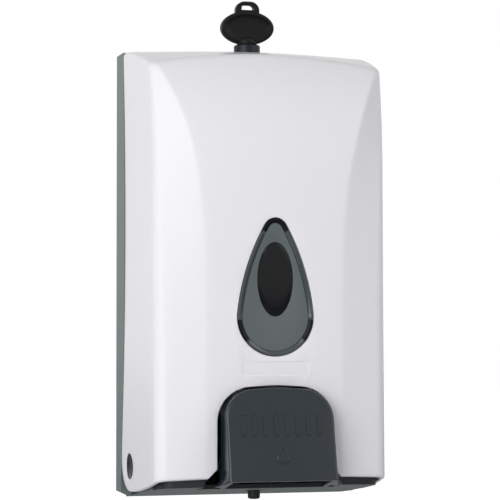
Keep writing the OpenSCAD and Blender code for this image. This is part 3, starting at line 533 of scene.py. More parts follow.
# The top falls to the front and is arched across; the skirt rises from the knuckles to the front.
top_fall = 6.0
arch_rear = 1.5
arch_front = 6.8
top_rear_d = 17.0
top_front_d = 65.0
top_edge_r = 2.6
hinge_d = 30.5
hinge_up = 18.7
skirt_up = 5.2
knuckle_r = hinge_up - skirt_up
front_up = 15.7
skirt_front_d = 85.0
straight_from = front_up + 12
lower_edge = ((0, 0.95), (0.1, 0.55), (0.35, 0.22), (0.8, 0.05), (1.4, 0))
side_shares = (0, 0.003, 0.012, 0.03, 0.06, 0.1, 0.15, 0.2, 0.25, 0.32, 0.4, 0.5, 0.62, 0.75, 0.88, 1)
facet_shares = (0.2, 0.45, 0.7, 1)
crown_shares = (1, 0.93, 0.84, 0.73, 0.6, 0.46, 0.32, 0.16, 0)
corner_steps = 9
crease_steps = 3
skirt_rows = 6
lower_rows = 6
upper_rows = 34
edge_rows = 7
roof_rows = 13


def fall_back(radius, over):
    """How far an arc has fallen back when it has run over by so much."""
    return radius - math.sqrt(radius * radius - over * over) if over > 0 else 0


def middle_depth(up):
    return body_d - fall_back(sweep_r, up - body_h + sweep_h)


def edge_depth(up):
    return edge_d - edge_lean * (up - front_up) - fall_back(edge_sweep_r, up - body_h + edge_sweep_h)


def edge_radius(up):
    return edge_r - edge_thin * max(0, up - crease_start) / (body_h - crease_start)


def crown_depth(x, up):
    return middle_depth(up) - x * x / (2 * crown_r)


def rear_depth(up):
    return max(hinge_d - knuckle_r, rim_d - fall_back(bow_r, abs(up - bow_up)) + cover_gap)


def side_x(depth):
    return half_w - side_lean * (depth - seam_d)


def crease_x(up):
    spread = crease_half + crease_spread * (max(0, up - crease_start) / crease_reach) ** 3
    return min(side_x(edge_depth(up)) - crease_least, spread)


def top_height(x, depth):
    share = (max(0, depth - top_rear_d) / (top_front_d - top_rear_d)) ** 1.6
    fall = (arch_rear + (arch_front - arch_rear) * share) * (x / half_w) ** 2
    return body_h + arch_rear - top_fall * share - fall


def skirt_height(depth):
    if depth < hinge_d:
        return hinge_up - math.sqrt(max(0, knuckle_r ** 2 - (hinge_d - depth) ** 2))
    return skirt_up + (front_up - skirt_up) * min(1, (depth - hinge_d) / (skirt_front_d - hinge_d)) ** 1.5


def swept(start, end, t):
    """The vector at share t of the turn from start to end."""
    turn = start.angle(end)
    return (start * math.sin((1 - t) * turn) + end * math.sin(t * turn)) / math.sin(turn)


def drawn_to(start, pull, end, t):
    """The point at share t of a curve from start to end that is drawn towards pull."""
    return start.lerp(pull, t).lerp(pull.lerp(end, t), t)


def half_section(up, inset):
    """The cover's right half at one height, from its rear edge round to the middle."""
    rear = Vector((side_x(rear_depth(up)), rear_depth(up)))
    corner = Vector((side_x(edge_depth(up)), edge_depth(up)))
    crease = Vector((crease_x(up), crown_depth(crease_x(up), up)))
    back, front = (rear - corner).normalized(), (crease - corner).normalized()
    half = back.angle(front) / 2
    reach = min(edge_radius(up) / math.tan(half), 0.8 * (crease - corner).length)
    radius = reach * math.tan(half)
    hub = corner + (back + front).normalized() * radius / math.sin(half)
    start = (corner + back * reach - hub).normalized()
    end = (corner + front * reach - hub).normalized()
    inner_radius = max(radius - inset, least_edge) if inset else radius
    thick = radius - inner_radius
    points = []
    for s in side_shares:
        inwards = Vector((inset + (thick - inset) * s * s, side_lean * thick * s))
        points.append(rear.lerp(corner + back * reach, s) - inwards)
    points += [hub + swept(start, end, i / corner_steps) * inner_radius for i in range(1, corner_steps + 1)]
    crease -= Vector((0, inset))
    facet_from = points[-1]
    soft = min(crease_soft, 0.6 * (crease - facet_from).length)
    soft_from = crease + (facet_from - crease).normalized() * soft
    soft_to = Vector((crease.x - soft, crown_depth(crease.x - soft, up) - inset))
    points += [facet_from.lerp(soft_from, s) for s in facet_shares]
    points += [drawn_to(soft_from, crease, soft_to, i / (crease_steps + 1))
               for i in range(1, crease_steps + 1)]
    points += [Vector((soft_to.x * s, crown_depth(soft_to.x * s, up) - inset)) for s in crown_shares]
    return points


half_columns = len(half_section(front_up, 0)) - 1


def skin_point(column, up, inset):
    """The point of a column, counted from the left rear edge round to the right one."""
    if column < half_columns:
        point = half_section(up, inset)[column]
        return Vector((-point.x, point.y))
    return half_section(up, inset)[2 * half_columns - column]


def skin_rows(inset):
    """Rows of one skin of the cover: up its front and sides, over the top edge and in to the lock."""
    columns = range(2 * half_columns + 1)
    rims = []
    for j in columns:
        up = body_h - 5
        for _ in range(10):
            point = skin_point(j, up, inset)
            up = top_height(point.x, point.y) - inset
        rims.append(up)

    def row(height):
        return [Vector((*skin_point(j, height(j), inset), height(j))) for j in columns]

    def roof(plan):
        return Vector((plan.x, plan.y, top_height(plan.x, plan.y) - inset))

    rows = []
    for height, back in lower_edge:
        edge = [skin_point(j, front_up, inset or back) for j in columns]
        rows.append([Vector((*point, skirt_height(point.y) + height)) for point in edge])
    lowest, first = rows.pop(), row(lambda j: straight_from)
    rows += [[low.lerp(high, k / skirt_rows) for low, high in zip(lowest, first)] for k in range(skirt_rows)]
    rows += [row(lambda j: straight_from + (crease_start - straight_from) * k / lower_rows)
             for k in range(lower_rows)]
    rows += [row(lambda j: crease_start + (rims[j] - top_edge_r - crease_start) * k / upper_rows)
             for k in range(upper_rows + 1)]
    hub = Vector((0, rear_depth(body_h)))
    edge = [skin_point(j, rims[j], inset) for j in columns]
    shares = [1 - top_edge_r / (hub - edge[j]).length for j in columns]
    inner = [roof(edge[j] + (hub - edge[j]) * (1 - shares[j])) for j in columns]
    rim, below = [Vector((*edge[j], rims[j])) for j in columns], rows[-1]
    rows += [[drawn_to(below[j], rim[j], inner[j], k / edge_rows) for j in columns]
             for k in range(1, edge_rows + 1)]
    rows += [[roof(hub + (edge[j] - hub) * (shares[j] * (1 - k / roof_rows))) for j in columns]
             for k in range(1, roof_rows)]
    return rows, roof(hub)


def bridged(shape, rows, around=True):
    """Faces between each row of points and the next; around also joins the ends of the rows."""
    for low, high in zip(rows, rows[1:]):
        for i in range(0 if around else 1, len(low)):
            shape.faces.new((low[i - 1], low[i], high[i], high[i - 1]))


def lofted(loops, ends=True):
    """A closed solid through loops of points: a block with its two ends filled, or a ring."""
    shape = bmesh.new()
    loops = [[shape.verts.new(p) for p in loop] for loop in loops]
    bridged(shape, loops if ends else loops + loops[:1])
    if ends:
        shape.faces.new(loops[0])
        shape.faces.new(loops[-1])
    return mesh_from(clean(shape), "lofted")


def cover_shell():
    """The shell as one closed mesh: two skins joined along the lower and the rear edges."""
    shape = bmesh.new()
    skins = []
    for inset in (0, wall):
        rows, hub = skin_rows(inset)
        skins.append(([[shape.verts.new(at(*p)) for p in row] for row in rows], shape.verts.new(at(*hub))))
    for rows, hub in skins:
        bridged(shape, rows, around=False)
        for a, b in zip(rows[-1], rows[-1][1:]):
            shape.faces.new((a, b, hub))
    (outer, outer_hub), (inner, inner_hub) = skins
    bridged(shape, [outer[0], inner[0]], around=False)
    for j in (0, -1):
        rear_edges = [[row[j] for row in outer] + [outer_hub], [row[j] for row in inner] + [inner_hub]]
        bridged(shape, rear_edges, around=False)
    return mesh_from(clean(shape), "cover")


def lipped_cutter(outline, surface, lip=0.45, deep=9.0, proud=4.0):
    """A tool that cuts along an outline through a skin and leaves a rounded lip at its surface."""
    outline = [Vector(p) for p in outline]
    ways = []
    for i in range(len(outline)):
        run = (outline[(i + 1) % len(outline)] - outline[i - 1]).normalized()
        ways.append(Vector((run.y, -run.x)))
    area = sum(a.x * b.y - b.x * a.y for a, b in zip(outline, outline[1:] + outline[:1]))
    sign = 1 if area > 0 else -1
    rings = [(0, -deep), (0, -lip)]
    for a in (20, 40, 60, 75):
        turn = math.radians(a)
        rings.append((lip * (1 - math.cos(turn)), lip * (math.sin(turn) - 1)))
    rings += [(1.25 * lip, 0.12 * lip), (1.25 * lip + 0.2, proud)]
    return lofted([[surface(*(p + way * grow * sign), height) for p, way in zip(outline, ways)]
                   for grow, height in rings])


def carved(mesh, added_on, cut_away):
    """The mesh with some solids joined on and others cut away."""
    body = placed("work", mesh)
    tools = []
    for name, solids in (("UNION", added_on), ("DIFFERENCE", cut_away)):
        for solid in solids:
            step = body.modifiers.new(name, "BOOLEAN")
            step.operation = name
            step.solver = "EXACT"
            step.object = placed("tool", solid)
            tools.append(step.object)
    result = settled(body)
    for tool in tools:
        bpy.data.objects.remove(tool)
    return result


def rounded_corners(corners, steps=10):
    """An outline of (x, y, radius) corners, each rounded to its radius."""
    points = []
    for i, (x, y, radius) in enumerate(corners):
        here = Vector((x, y))
        if not radius:
            points.append(here)
            continue
        to_last = (Vector(corners[i - 1][:2]) - here).normalized()
        to_next = (Vector(corners[(i + 1) % len(corners)][:2]) - here).normalized()
        half = to_last.angle(to_next) / 2
        hub = here + (to_last + to_next).normalized() * radius / math.sin(half)
        start = here + to_last * radius / math.tan(half) - hub
        end = here + to_next * radius / math.tan(half) - hub
        points += [hub + swept(start, end, k / steps) for k in range(steps + 1)]
    return points


def rounded_box(half, low, top, low_r, top_r):
    """An outline of a rectangle about the middle, its lower and upper corners rounded."""
    return rounded_corners([(-half, low, low_r), (half, low, low_r), (half, top, top_r), (-half, top, top_r)])


def arc(cx, cy, radius, start, end, steps):
    """Points on an arc between two angles in degrees."""
    turns = [math.radians(start + (end - start) * i / steps) for i in range(steps + 1)]
    return [Vector((cx + radius * math.cos(t), cy + radius * math.sin(t))) for t in turns]


def circle(cx, cy, radius):
    return arc(cx, cy, radius, 0, 360, 48)[:-1]


def on_front(x, up, height):
    """A point that stands off the cover's front by height; on_side and on_top do the same there."""
    return at(x, crown_depth(x, up) + height, up)


def on_side(sign):
    return lambda depth, up, height: at(sign * (side_x(depth) + height), depth, up)


def on_top(x, depth, height):
    return at(x, depth, seat_up + height)


lever_half = 28.6
lever_gap = 2.2
open_half = lever_half + lever_gap
open_top = 63.2
open_up = front_up + 4.5
open_flare = 25
shoulder = 2
lever_crown_r = 60
open_r = 17.8
window_up = 98.4
window_r = 20.5
window_tip_r = 6.7
window_h = 44.7
window_side_r = 120.0
label_half = 17.3
label_low = 68.2
label_top = 75.1
label_r = 0.8
label_deep = 0.12
lock_d = 26.0
collar_r = 7.2
thread_r = 5.9
seat_up = body_h + 0.2
lock_up = body_h + 2.6
pin_head_r = 6.9
pivot_d = 78.0
pivot_up = 60.7
ear_x = open_half + 0.4
ear_t = 3.2
ear_reach = 4.5


def teardrop(grow):
    """The window's outline: a round lower end, two bowed sides and a small round tip."""
    low_reach, high_reach = window_side_r - window_r, window_side_r - window_tip_r
    cy = (low_reach ** 2 - high_reach ** 2 + window_h ** 2) / (2 * window_h)
    cx = math.sqrt(low_reach ** 2 - cy ** 2)
    low, high = math.degrees(math.atan2(-cy, cx)), math.degrees(math.atan2(window_h - cy, cx))
    path = arc(0, 0, window_r + grow, 180 - low, 360 + low, 56)
    path += arc(-cx, cy, window_side_r + grow, low, high, 30)[1:]
    path += arc(0, window_h, window_tip_r + grow, high, 180 - high, 28)[1:]
    path += arc(cx, cy, window_side_r + grow, 180 - high, 180 - low, 30)[1:-1]
    return [Vector((p.x, p.y + window_up)) for p in path]


lever_opening = rounded_corners([(-open_half - open_flare, open_up - open_flare, 0), (-open_half, open_up, 1),
                                 (-open_half, open_top - shoulder, open_r), (0, open_top, lever_crown_r),
                                 (open_half, open_top - shoulder, open_r), (open_half, open_up, 1),
                                 (open_half + open_flare, open_up - open_flare, 0)])
label_outline = rounded_box(label_half, label_low, label_top, label_r, label_r)
cuts = [lipped_cutter(lever_opening, on_front, deep=14, proud=16),
        lipped_cutter(teardrop(0), on_front, deep=8),
        lipped_cutter(label_outline, on_front, lip=0.1, deep=label_deep),
        lipped_cutter(circle(0, lock_d, collar_r + 0.15), on_top, lip=0.1, deep=0),
        lipped_cutter(circle(0, lock_d, thread_r + 0.1), on_top, lip=0.1, deep=9)]
cuts += [lipped_cutter(circle(hinge_d, hinge_up, pin_head_r + 0.05), on_side(sign), lip=0.3, deep=6, proud=2)
         for sign in (-1, 1)]


def slab(low, high):
    """A block between two corners of (x, depth, height), its edges rounded."""
    shape = bmesh.new()
    bmesh.ops.create_cube(shape, size=1)
    for vertex in shape.verts:
        vertex.co = at(*(low[i] if vertex.co[i] < 0 else high[i] for i in range(3)))
    return edged(mesh_from(clean(shape), "slab"), 0.4)


ears = [slab((x, pivot_d - ear_reach, pivot_up - ear_reach), (x + ear_t, body_d - 1.6, pivot_up + ear_reach))
        for x in (-ear_x - ear_t, ear_x)]
cover_finish = finish_of("Glossy white shell", cover_white, 0.25, bump=0.04, grain=220, depth=0.0001,
                         shading=0.006, rubbing=0.05, Specular_Tint=(0.38, 0.38, 0.38, 1), Coat_Weight=0.04,
                         Coat_Roughness=0.15)
piece("cover_shell", carved(cover_shell(), ears, cuts), "cover", cover_finish, "front_cover")


# ---------------------------------------------------------------------------
# Snap pins.
# Two slate mouldings pressed through the cover's sides into the plate's bosses, each with
# a round head that is dished and sits level with the cover.
# ---------------------------------------------------------------------------
pin_slate = (0.02, 0.023, 0.03)
pin_r = 3.0
pin_neck_r = 4.7
dish_r = 6.5
dish_deep = 1.7
dish_shares = (1, 0.92, 0.83, 0.72, 0.6, 0.45, 0.3, 0.15, 0)

pin_finish = finish_of("Slate snap pin", pin_slate, 0.36, bump=0.2, Specular_IOR_Level=0.2)
for side, sign in (("left", -1), ("right", 1)):
    node = "hinge_pin_" + side
    inner_end = min(abs(c[0]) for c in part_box(node)) / MM
    face = side_x(hinge_d) - 0.1
    head = side_x(hinge_d) - wall + 0.1
    pin_line = [(0, inner_end), (pin_r - 0.5, inner_end), (pin_r, inner_end + 0.5), (pin_r, head - 2),
                (pin_neck_r, head - 2), (pin_neck_r, head), (pin_head_r - 0.2, head),
                (pin_head_r, head + 0.2), (pin_head_r, face - 0.2), (pin_head_r - 0.15, face)]
    pin_line += [(dish_r * s, face - dish_deep * (1 - s * s)) for s in dish_shares]
    pin_mesh = turned(pin_line, lambda a, b, h: at(sign * h, hinge_d + a, hinge_up + b), 56)
    piece("snap_pin_" + side, pin_mesh, "base", pin_finish, node)


# ---------------------------------------------------------------------------
# Window: rim, clips, plate and sight glass.
# A charcoal rim snaps into the cover with three black clips; a grey plate inside it
# frames a smoked oval that shows how full the tank is.
# ---------------------------------------------------------------------------
rim_charcoal = (0.047, 0.056, 0.062)
window_grey = (0.102, 0.12, 0.123)
smoke = (0.007, 0.0075, 0.0085)
clip_black = (0.005, 0.0055, 0.006)
clip_low = window_up - 13.4
clip_high = window_up - 0.8
clip_top = window_up + window_h + 0.3
clip_side = 10.6
clip_floor = 85.0
clip_t = 0.02
rim_front = [(-0.18, 85.0), (-0.25, 85.6), (-0.6, 86.0), (-1.1, 86.05), (-1.7, 85.8), (-2.3, 85.45),
             (-2.65, 85.2)]
rim_back = [(-2.7, 83.1), (-4.5, 83.1), (-4.5, 81.3), (2.0, 81.3), (2.0, 82.6), (-0.18, 82.7)]
infill_inside = -2.85
infill_back = 83.2
infill_front = 84.85
glass_half_w = 9.5
glass_half_h = 19.2
glass_up = window_up + 19.4
glass_back = 81.7
glass_dome = 0.35


def clipped(point):
    """Whether a clip covers the rim at this point of its outline."""
    return point.y > clip_top or (abs(point.x) > clip_side and clip_low < point.y < clip_high)


def rim_mesh():
    """The rim, set back where the clips cover it."""
    path = teardrop(0)
    spots = []
    for i, point in enumerate(path):
        if i and clipped(point) != clipped(path[i - 1]):
            spots.append((i, clipped(path[i - 1])))
        spots.append((i, clipped(point)))
    if clipped(path[0]) != clipped(path[-1]):
        spots.append((0, clipped(path[-1])))
    loops = []
    for grow, depth in rim_front + rim_back:
        line, low = teardrop(grow), min(depth, clip_floor)
        loops.append([at(line[i].x, low if covered else depth, line[i].y) for i, covered in spots])
    return lofted(loops, ends=False)


def clip_mesh():
    """The three clips, each a strip that follows the rim's rounded front."""
    path = teardrop(0)
    floor = [(rim_front[end][0], clip_floor) for end in (-1, 0)]
    section = [(grow, depth + clip_t) for grow, depth in rim_front + floor]
    lines = [teardrop(grow) for grow, _ in section]
    start = next(i for i, p in enumerate(path) if not clipped(p))
    runs, run = [], []
    for i in [(start + k) % len(path) for k in range(len(path) + 1)]:
        if clipped(path[i]):
            run.append(i)
        elif run:
            runs.append(run)
            run = []
    shape = bmesh.new()
    for run in runs:
        loops = [[shape.verts.new(at(line[i].x, depth, line[i].y)) for i in run]
                 for line, (_, depth) in zip(lines, section)]
        bridged(shape, loops + loops[:1], around=False)
        for end in (0, -1):
            shape.faces.new([loop[end] for loop in loops])
    return mesh_from(clean(shape), "clips")


def banded(outline, section, place, ends=False):
    """A block or a ring that follows an outline, by the (growth, height) points of its section."""
    return lofted([[place(p.x, p.y, height) for p in outline(grow)] for grow, height in section], ends)


def facing(x, up, depth):
    return at(x, depth, up)


def oval(half_wide, half_high, middle):
    """An oval outline whose middle is at a height."""
    turns = [2 * math.pi * i / 72 for i in range(72)]
    return [Vector((half_wide * math.cos(t), middle + half_high * math.sin(t))) for t in turns]


def infill_line(grow):
    """The plate's edges: its outer one follows the rim, its inner one stands off the glass by grow."""
    outer = teardrop(infill_inside)
    if grow > 0:
        return outer
    middle = Vector((0, glass_up))
    points = []
    for p in outer:
        way = (p - middle).normalized()
        reach = 1 / math.hypot(way.x / (glass_half_w - grow), way.y / (glass_half_h - grow))
        points.append(middle + way * reach)
    return points


def glass_line(grow):
    """The glass's outline, grown in proportion."""
    share = (glass_half_w + grow) / glass_half_w
    return oval(glass_half_w * share, glass_half_h * share, glass_up)


rim_finish = finish_of("Charcoal window rim", rim_charcoal, 0.15, bump=0.1, Specular_IOR_Level=0.5)
clip_finish = finish_of("Black window clip", clip_black, 0.35, bump=0.1, Specular_IOR_Level=0.12)
infill_finish = finish_of("Grey window plate", window_grey, 0.4, bump=0.3, grain=2600, Specular_IOR_Level=0.4)
glass_finish = finish_of("Smoked sight glass", smoke, 0.12, bump=0.03, grain=300, rubbing=0.04,
                         Transmission_Weight=0.1, Specular_IOR_Level=0.15)
infill_section = [(1, infill_back), (1, infill_front), (-0.4, infill_front), (-0.12, infill_front - 0.1),
                  (0, infill_front - 0.35), (0, infill_back)]
glass_section = [(-0.1, glass_back), (-0.1, infill_back - 0.1), (-0.1, infill_front - 0.5),
                 (-0.35, infill_front - 0.15), (-0.8, infill_front)]
glass_section += [(-glass_half_w * s, infill_front + glass_dome * s * (2 - s))
                  for s in (0.25, 0.5, 0.75, 0.93)]
infill = banded(infill_line, infill_section, facing)
sight = banded(glass_line, glass_section, facing, ends=True)
piece("window_surround", rim_mesh(), "cover", rim_finish, "window_frame")
piece("surround_clips", clip_mesh(), "cover", clip_finish, "window_clips")
piece("window_infill", infill, "cover", infill_finish, "window_plate")
piece("sight_oval", sight, "cover", glass_finish, "sight_glass")


# ---------------------------------------------------------------------------
# Push lever and its rod.
# A slate moulding hangs from a steel rod in the cover; a hand pushes its sloping face,
# which carries raised grip ribs and a raised drop, and its nose works the plunger.
# ---------------------------------------------------------------------------
lever_slate = (0.013, 0.0198, 0.026)
lever_top = 62.2
lever_top_d = 91.8
lever_low_d = 103.2
lever_low = 15.1
lever_t = 2.2
lever_back = 80.0
lever_edge = 1.3
lever_r = 15.0
lever_spare = 12
leg_steps = 30
foot_back = 86.2
foot_reach = 4.6
foot_rise = 8.0
nose_r = 3.0
nose_half = 8.0
nose_d = tip_d + 0.3 + nose_r
face_slope = (lever_low_d - lever_top_d) / (lever_top - lever_low)
lug_half = 1.3
lug_drop = 26
lug_t = 2.2
eye_r = 4
eye_bore = 1.55
rib_pitch = 5.7
rib_count = 8
rib_up = 42.7
drop_up = 26.6
drop_r = 2.8
drop_tip = 32.6


def face_depth(up):
    return lever_top_d + face_slope * (lever_top - up)


def foot_line(depth):
    """Height of the lever's lower edge at a depth."""
    return lever_low - face_slope * (lever_low_d - depth)


def lever_outline():
    """The lever's front outline from below its foot over its top and back down, as (x, height)."""
    start, side_end = lever_low - lever_spare, lever_top - shoulder - lever_r
    points = rounded_corners([(lever_half, start, 0), (lever_half, lever_top - shoulder, lever_r),
                              (0, lever_top, lever_crown_r), (-lever_half, lever_top - shoulder, lever_r),
                              (-lever_half, start, 0)], 14)
    legs = [start + (side_end - start) * i / leg_steps for i in range(1, leg_steps)]
    right, left = ([Vector((x, up)) for up in legs] for x in (lever_half, -lever_half))
    return [points[0]] + right + points[1:-1] + left[::-1] + [points[-1]]


lever_path = lever_outline()


def lever_ways():
    """The outward direction at each point of the lever's outline."""
    ways = []
    for i in range(len(lever_path)):
        run = lever_path[min(i + 1, len(lever_path) - 1)] - lever_path[max(i - 1, 0)]
        ways.append(Vector((run.y, -run.x)).normalized())
    return ways


def foot_spread(up, depth):
    """How far the lever's side stands out at its foot: a concave sweep from its face back to a free edge."""
    if depth < foot_back:
        return 0
    height = (up - foot_line(depth)) / foot_rise
    lean = min(1, (lever_low_d - depth) / (lever_low_d - foot_back - 0.5))
    return foot_reach * lean * max(0, 1 - max(0, height)) ** 2


def lever_body():
    """The lever's hollow shell, open at its back and foot."""
    ways = lever_ways()
    shape = bmesh.new()

    def ring(depth_of, inset, spread=True):
        """The outline at a depth that may change with the height, drawn in by inset."""
        verts = []
        for point, way in zip(lever_path, ways):
            depth = depth_of(point.y)
            spot = point - way * inset
            out = foot_spread(point.y, depth) if spread else 0
            verts.append(shape.verts.new(at(spot.x + math.copysign(out, point.x), depth, spot.y)))
        return verts

    outer = [ring(lambda up: depth, 0) for depth in (lever_back, 83, foot_back - 0.01)]
    outer += [ring(lambda up: foot_back + (face_depth(up) - lever_edge - foot_back) * s, 0)
              for s in (0.004, 0.2, 0.4, 0.6, 0.8, 1)]
    for a in (18, 36, 54, 72, 90):
        turn = math.radians(a)
        back = lever_edge * (1 - math.sin(turn))
        outer.append(ring(lambda up: face_depth(up) - back, lever_edge * (1 - math.cos(turn))))
    inner = [ring(depth_of, lever_t, False)
             for depth_of in (lambda up: lever_back, lambda up: face_depth(up) - lever_t)]
    for rows in (outer, inner, [outer[0], inner[0]]):
        bridged(shape, rows, around=False)
    for face in (outer[-1], inner[-1]):
        for i in range(len(lever_path) // 2):
            capped(shape, [face[i], face[i + 1], face[-2 - i], face[-1 - i]])
    clean(shape)
    bmesh.ops.bisect_plane(shape, geom=shape.verts[:] + shape.edges[:] + shape.faces[:],
                           plane_co=at(0, lever_low_d, lever_low),
                           plane_no=-Vector((0, face_slope, 1)).normalized(), clear_outer=True)
    bmesh.ops.holes_fill(shape, edges=[e for e in shape.edges if e.is_boundary])
    return mesh_from(clean(shape), "lever")


def slanted(x, up, height):
    """A point on the lever's face, raised off it by height."""
    return at(x, face_depth(up) + height, up)


def across_bar(profile, half, middle=0):
    """A profile of (depth, height) drawn out to both sides of a middle."""
    bar = lofted([[at(x, depth, up) for depth, up in profile] for x in (middle - half, middle + half)])
    return edged(bar, 0.3, 50)


def sideways(sign):
    """Places a turned shape about the rod's axis, on one side of the lever."""
    return lambda a, b, h: at(sign * h, pivot_d + a, pivot_up + b)


nose_line = [(face_depth(pump_up + nose_r) - 1, pump_up + nose_r)]
nose_line += [(p.x, p.y) for p in arc(nose_d, pump_up, nose_r, 90, 270, 12)]
nose_line += [(face_depth(pump_up - nose_r) - 1, pump_up - nose_r)]
nose = across_bar(nose_line, nose_half)
lug_line = [(pivot_d - 3.6, pivot_up), (pivot_d - 3.6, pivot_up - 10), (lever_back, pivot_up - lug_drop),
            (lever_back + lug_t, pivot_up - lug_drop), (lever_back + lug_t, pivot_up + 1.2),
            (pivot_d, pivot_up + 1.2)]
lugs = [across_bar(lug_line, lug_half, s * (lever_half - lug_half)) for s in (-1, 1)]
eye_start, eye_end = lever_half - 2 * lug_half, ear_x - 0.3
eyes = [turned([(eye_bore, eye_start), (eye_r, eye_start), (eye_r, eye_end - 0.3), (eye_r - 0.3, eye_end),
                (eye_bore, eye_end)], sideways(s), 40) for s in (-1, 1)]


def grip_rib_tree():
    """A row of upright pads with rounded ends, thick enough to feel with a finger."""
    tree, given = new_tree("Row of grip ribs", Count=8, Pitch=0.0057, Rib_Width=0.0024, Rib_Length=0.012,
                           Rib_Height=0.00035)
    step = added(tree, "ShaderNodeCombineXYZ", X=given["Pitch"]).outputs["Vector"]
    row = added(tree, "GeometryNodeMeshLine", Count=given["Count"], Offset=step).outputs["Mesh"]
    outline = added(tree, "GeometryNodeCurvePrimitiveQuadrilateral", Width=given["Rib Width"],
                    Height=given["Rib Length"]).outputs["Curve"]
    radius = worked(tree, "MULTIPLY", given["Rib Width"], 0.48)
    softer = added(tree, "GeometryNodeFilletCurve", mode="POLY", Count=8, Curve=outline, Radius=radius)
    flat = added(tree, "GeometryNodeFillCurve", mode="NGONS", Curve=softer.outputs["Curve"]).outputs["Mesh"]
    pad = added(tree, "GeometryNodeExtrudeMesh", Mesh=flat, Offset_Scale=given["Rib Height"]).outputs
    rib = added(tree, "GeometryNodeScaleElements", Geometry=pad["Mesh"], Selection=pad["Top"], Scale=0.86)
    stand = added(tree, "GeometryNodeInstanceOnPoints", Points=row, Instance=rib.outputs["Geometry"])
    return closed_tree(tree, given, stand.outputs["Instances"])


def bead_tree():
    """A round bead that follows its base curve."""
    tree, given = new_tree("Bead along an outline", Bead_Radius=0.0005)
    bead = added(tree, "GeometryNodeCurvePrimitiveCircle", Resolution=10, Radius=given["Bead Radius"])
    run = added(tree, "GeometryNodeCurveToMesh", Curve=given["Geometry"], Profile_Curve=bead.outputs["Curve"])
    return closed_tree(tree, given, run.outputs["Mesh"])


def closed_curve(points):
    """A closed line through the points, as a working curve object."""
    curve = bpy.data.curves.new("line", "CURVE")
    curve.dimensions = "3D"
    line = curve.splines.new("POLY")
    line.points.add(len(points) - 1)
    for spot, point in zip(line.points, points):
        spot.co = (*point, 1)
    line.use_cyclic_u = True
    return placed("line", curve)


def drop_outline():
    """The raised drop's line: a round foot and a drawn-out tip."""
    points = arc(0, drop_up, drop_r, 150, 390, 30)
    left, right, tip = points[0], points[-1], Vector((0, drop_tip))
    right_pull, left_pull = (Vector((x, drop_tip - drop_r)) for x in (0.85, -0.85))
    points += [drawn_to(right, right_pull, tip, t) for t in (0.25, 0.5, 0.75, 1)]
    return points + [drawn_to(tip, left_pull, left, t) for t in (0.25, 0.5, 0.75)]


lever_finish = finish_of("Slate lever plastic", lever_slate, 0.2, bump=0.25, grain=2400, depth=0.00005,
                         shading=0.08, rubbing=0.08, Specular_IOR_Level=0.38)
ribs = grown(grip_rib_tree(), lever_finish, Count=rib_count, Pitch=rib_pitch * MM, Rib_Width=2.4 * MM,
             Rib_Length=12 * MM, Rib_Height=0.7 * MM)
onto_face = Matrix.Rotation(math.pi / 2 - math.atan(face_slope), 4, "X")
ribs.transform(Matrix.Translation(slanted(-rib_pitch * (rib_count - 1) / 2, rib_up, -0.3)) @ onto_face)
drop_curve = closed_curve([slanted(p.x, p.y, -0.15) for p in drop_outline()])
drop = grown(bead_tree(), lever_finish, drop_curve, Bead_Radius=0.5 * MM)
lever_mesh = joined(edged(lever_body(), 0.25, 50), nose, *lugs, *eyes, ribs, drop)
piece("push_lever_dressed", lever_mesh, "lever", lever_finish, "push_lever")
dressed("pivot_rod", "lever_rod", 0.2, "cover", steel_finish)


# ---------------------------------------------------------------------------
# Lock and key.
# A threaded collar and nut hold a small barrel lock in the cover's top, with a steel cam
# under it; the moulded key has a rimmed oval bow and a loop for a ring.
# ---------------------------------------------------------------------------
collar_grey = (0.012, 0.015, 0.019)
key_black = (0.008, 0.0088, 0.0084)
key_low = lock_up + 2.8
bow_half_w = 14.7
bow_half_h = 9.2
bow_face = 3.25
bow_middle = key_low + bow_half_h
loop_up = key_low + 2 * bow_half_h
loop_half = 6.65
loop_eye = 3.4
blade_half = 3.1
blade_t = 1.5
blade_low = lock_up - 13.6

collar_finish = finish_of("Dark lock collar", collar_grey, 0.28, bump=0.15, Specular_IOR_Level=0.17)
key_finish = finish_of("Black key plastic", key_black, 0.4, bump=0.3, grain=2600, shading=0.1,
                       Specular_IOR_Level=0.12)
dressed("lock_collar", "lock_bush", 0.25, "cover", collar_finish)
dressed("lock_ring_nut", "lock_nut", 0.25, "cover", steel_finish)
dressed("barrel_core", "lock_barrel", 0.15, "lock", steel_finish)
dressed("turning_cam", "lock_cam", 0.2, "lock", steel_finish)
dressed("cam_fixing_screw", "cam_screw", 0.15, "lock", steel_finish)


def in_key(x, up, height):
    """Places the key's outlines in its plane over the lock."""
    return at(x, lock_d + height, up)


def bow_line(grow):
    return oval(bow_half_w + grow, bow_half_h + grow, bow_middle)


def loop_line(share):
    """From the loop's eye at 0 to its outside at 1."""
    outer = rounded_box(loop_half, loop_up - 3.4, loop_up + 5.3, 0.6, 5)
    inner = rounded_box(loop_eye, loop_up + 0.6, loop_up + 3.4, 0.3, 2)
    return [i.lerp(o, share) for i, o in zip(inner, outer)]


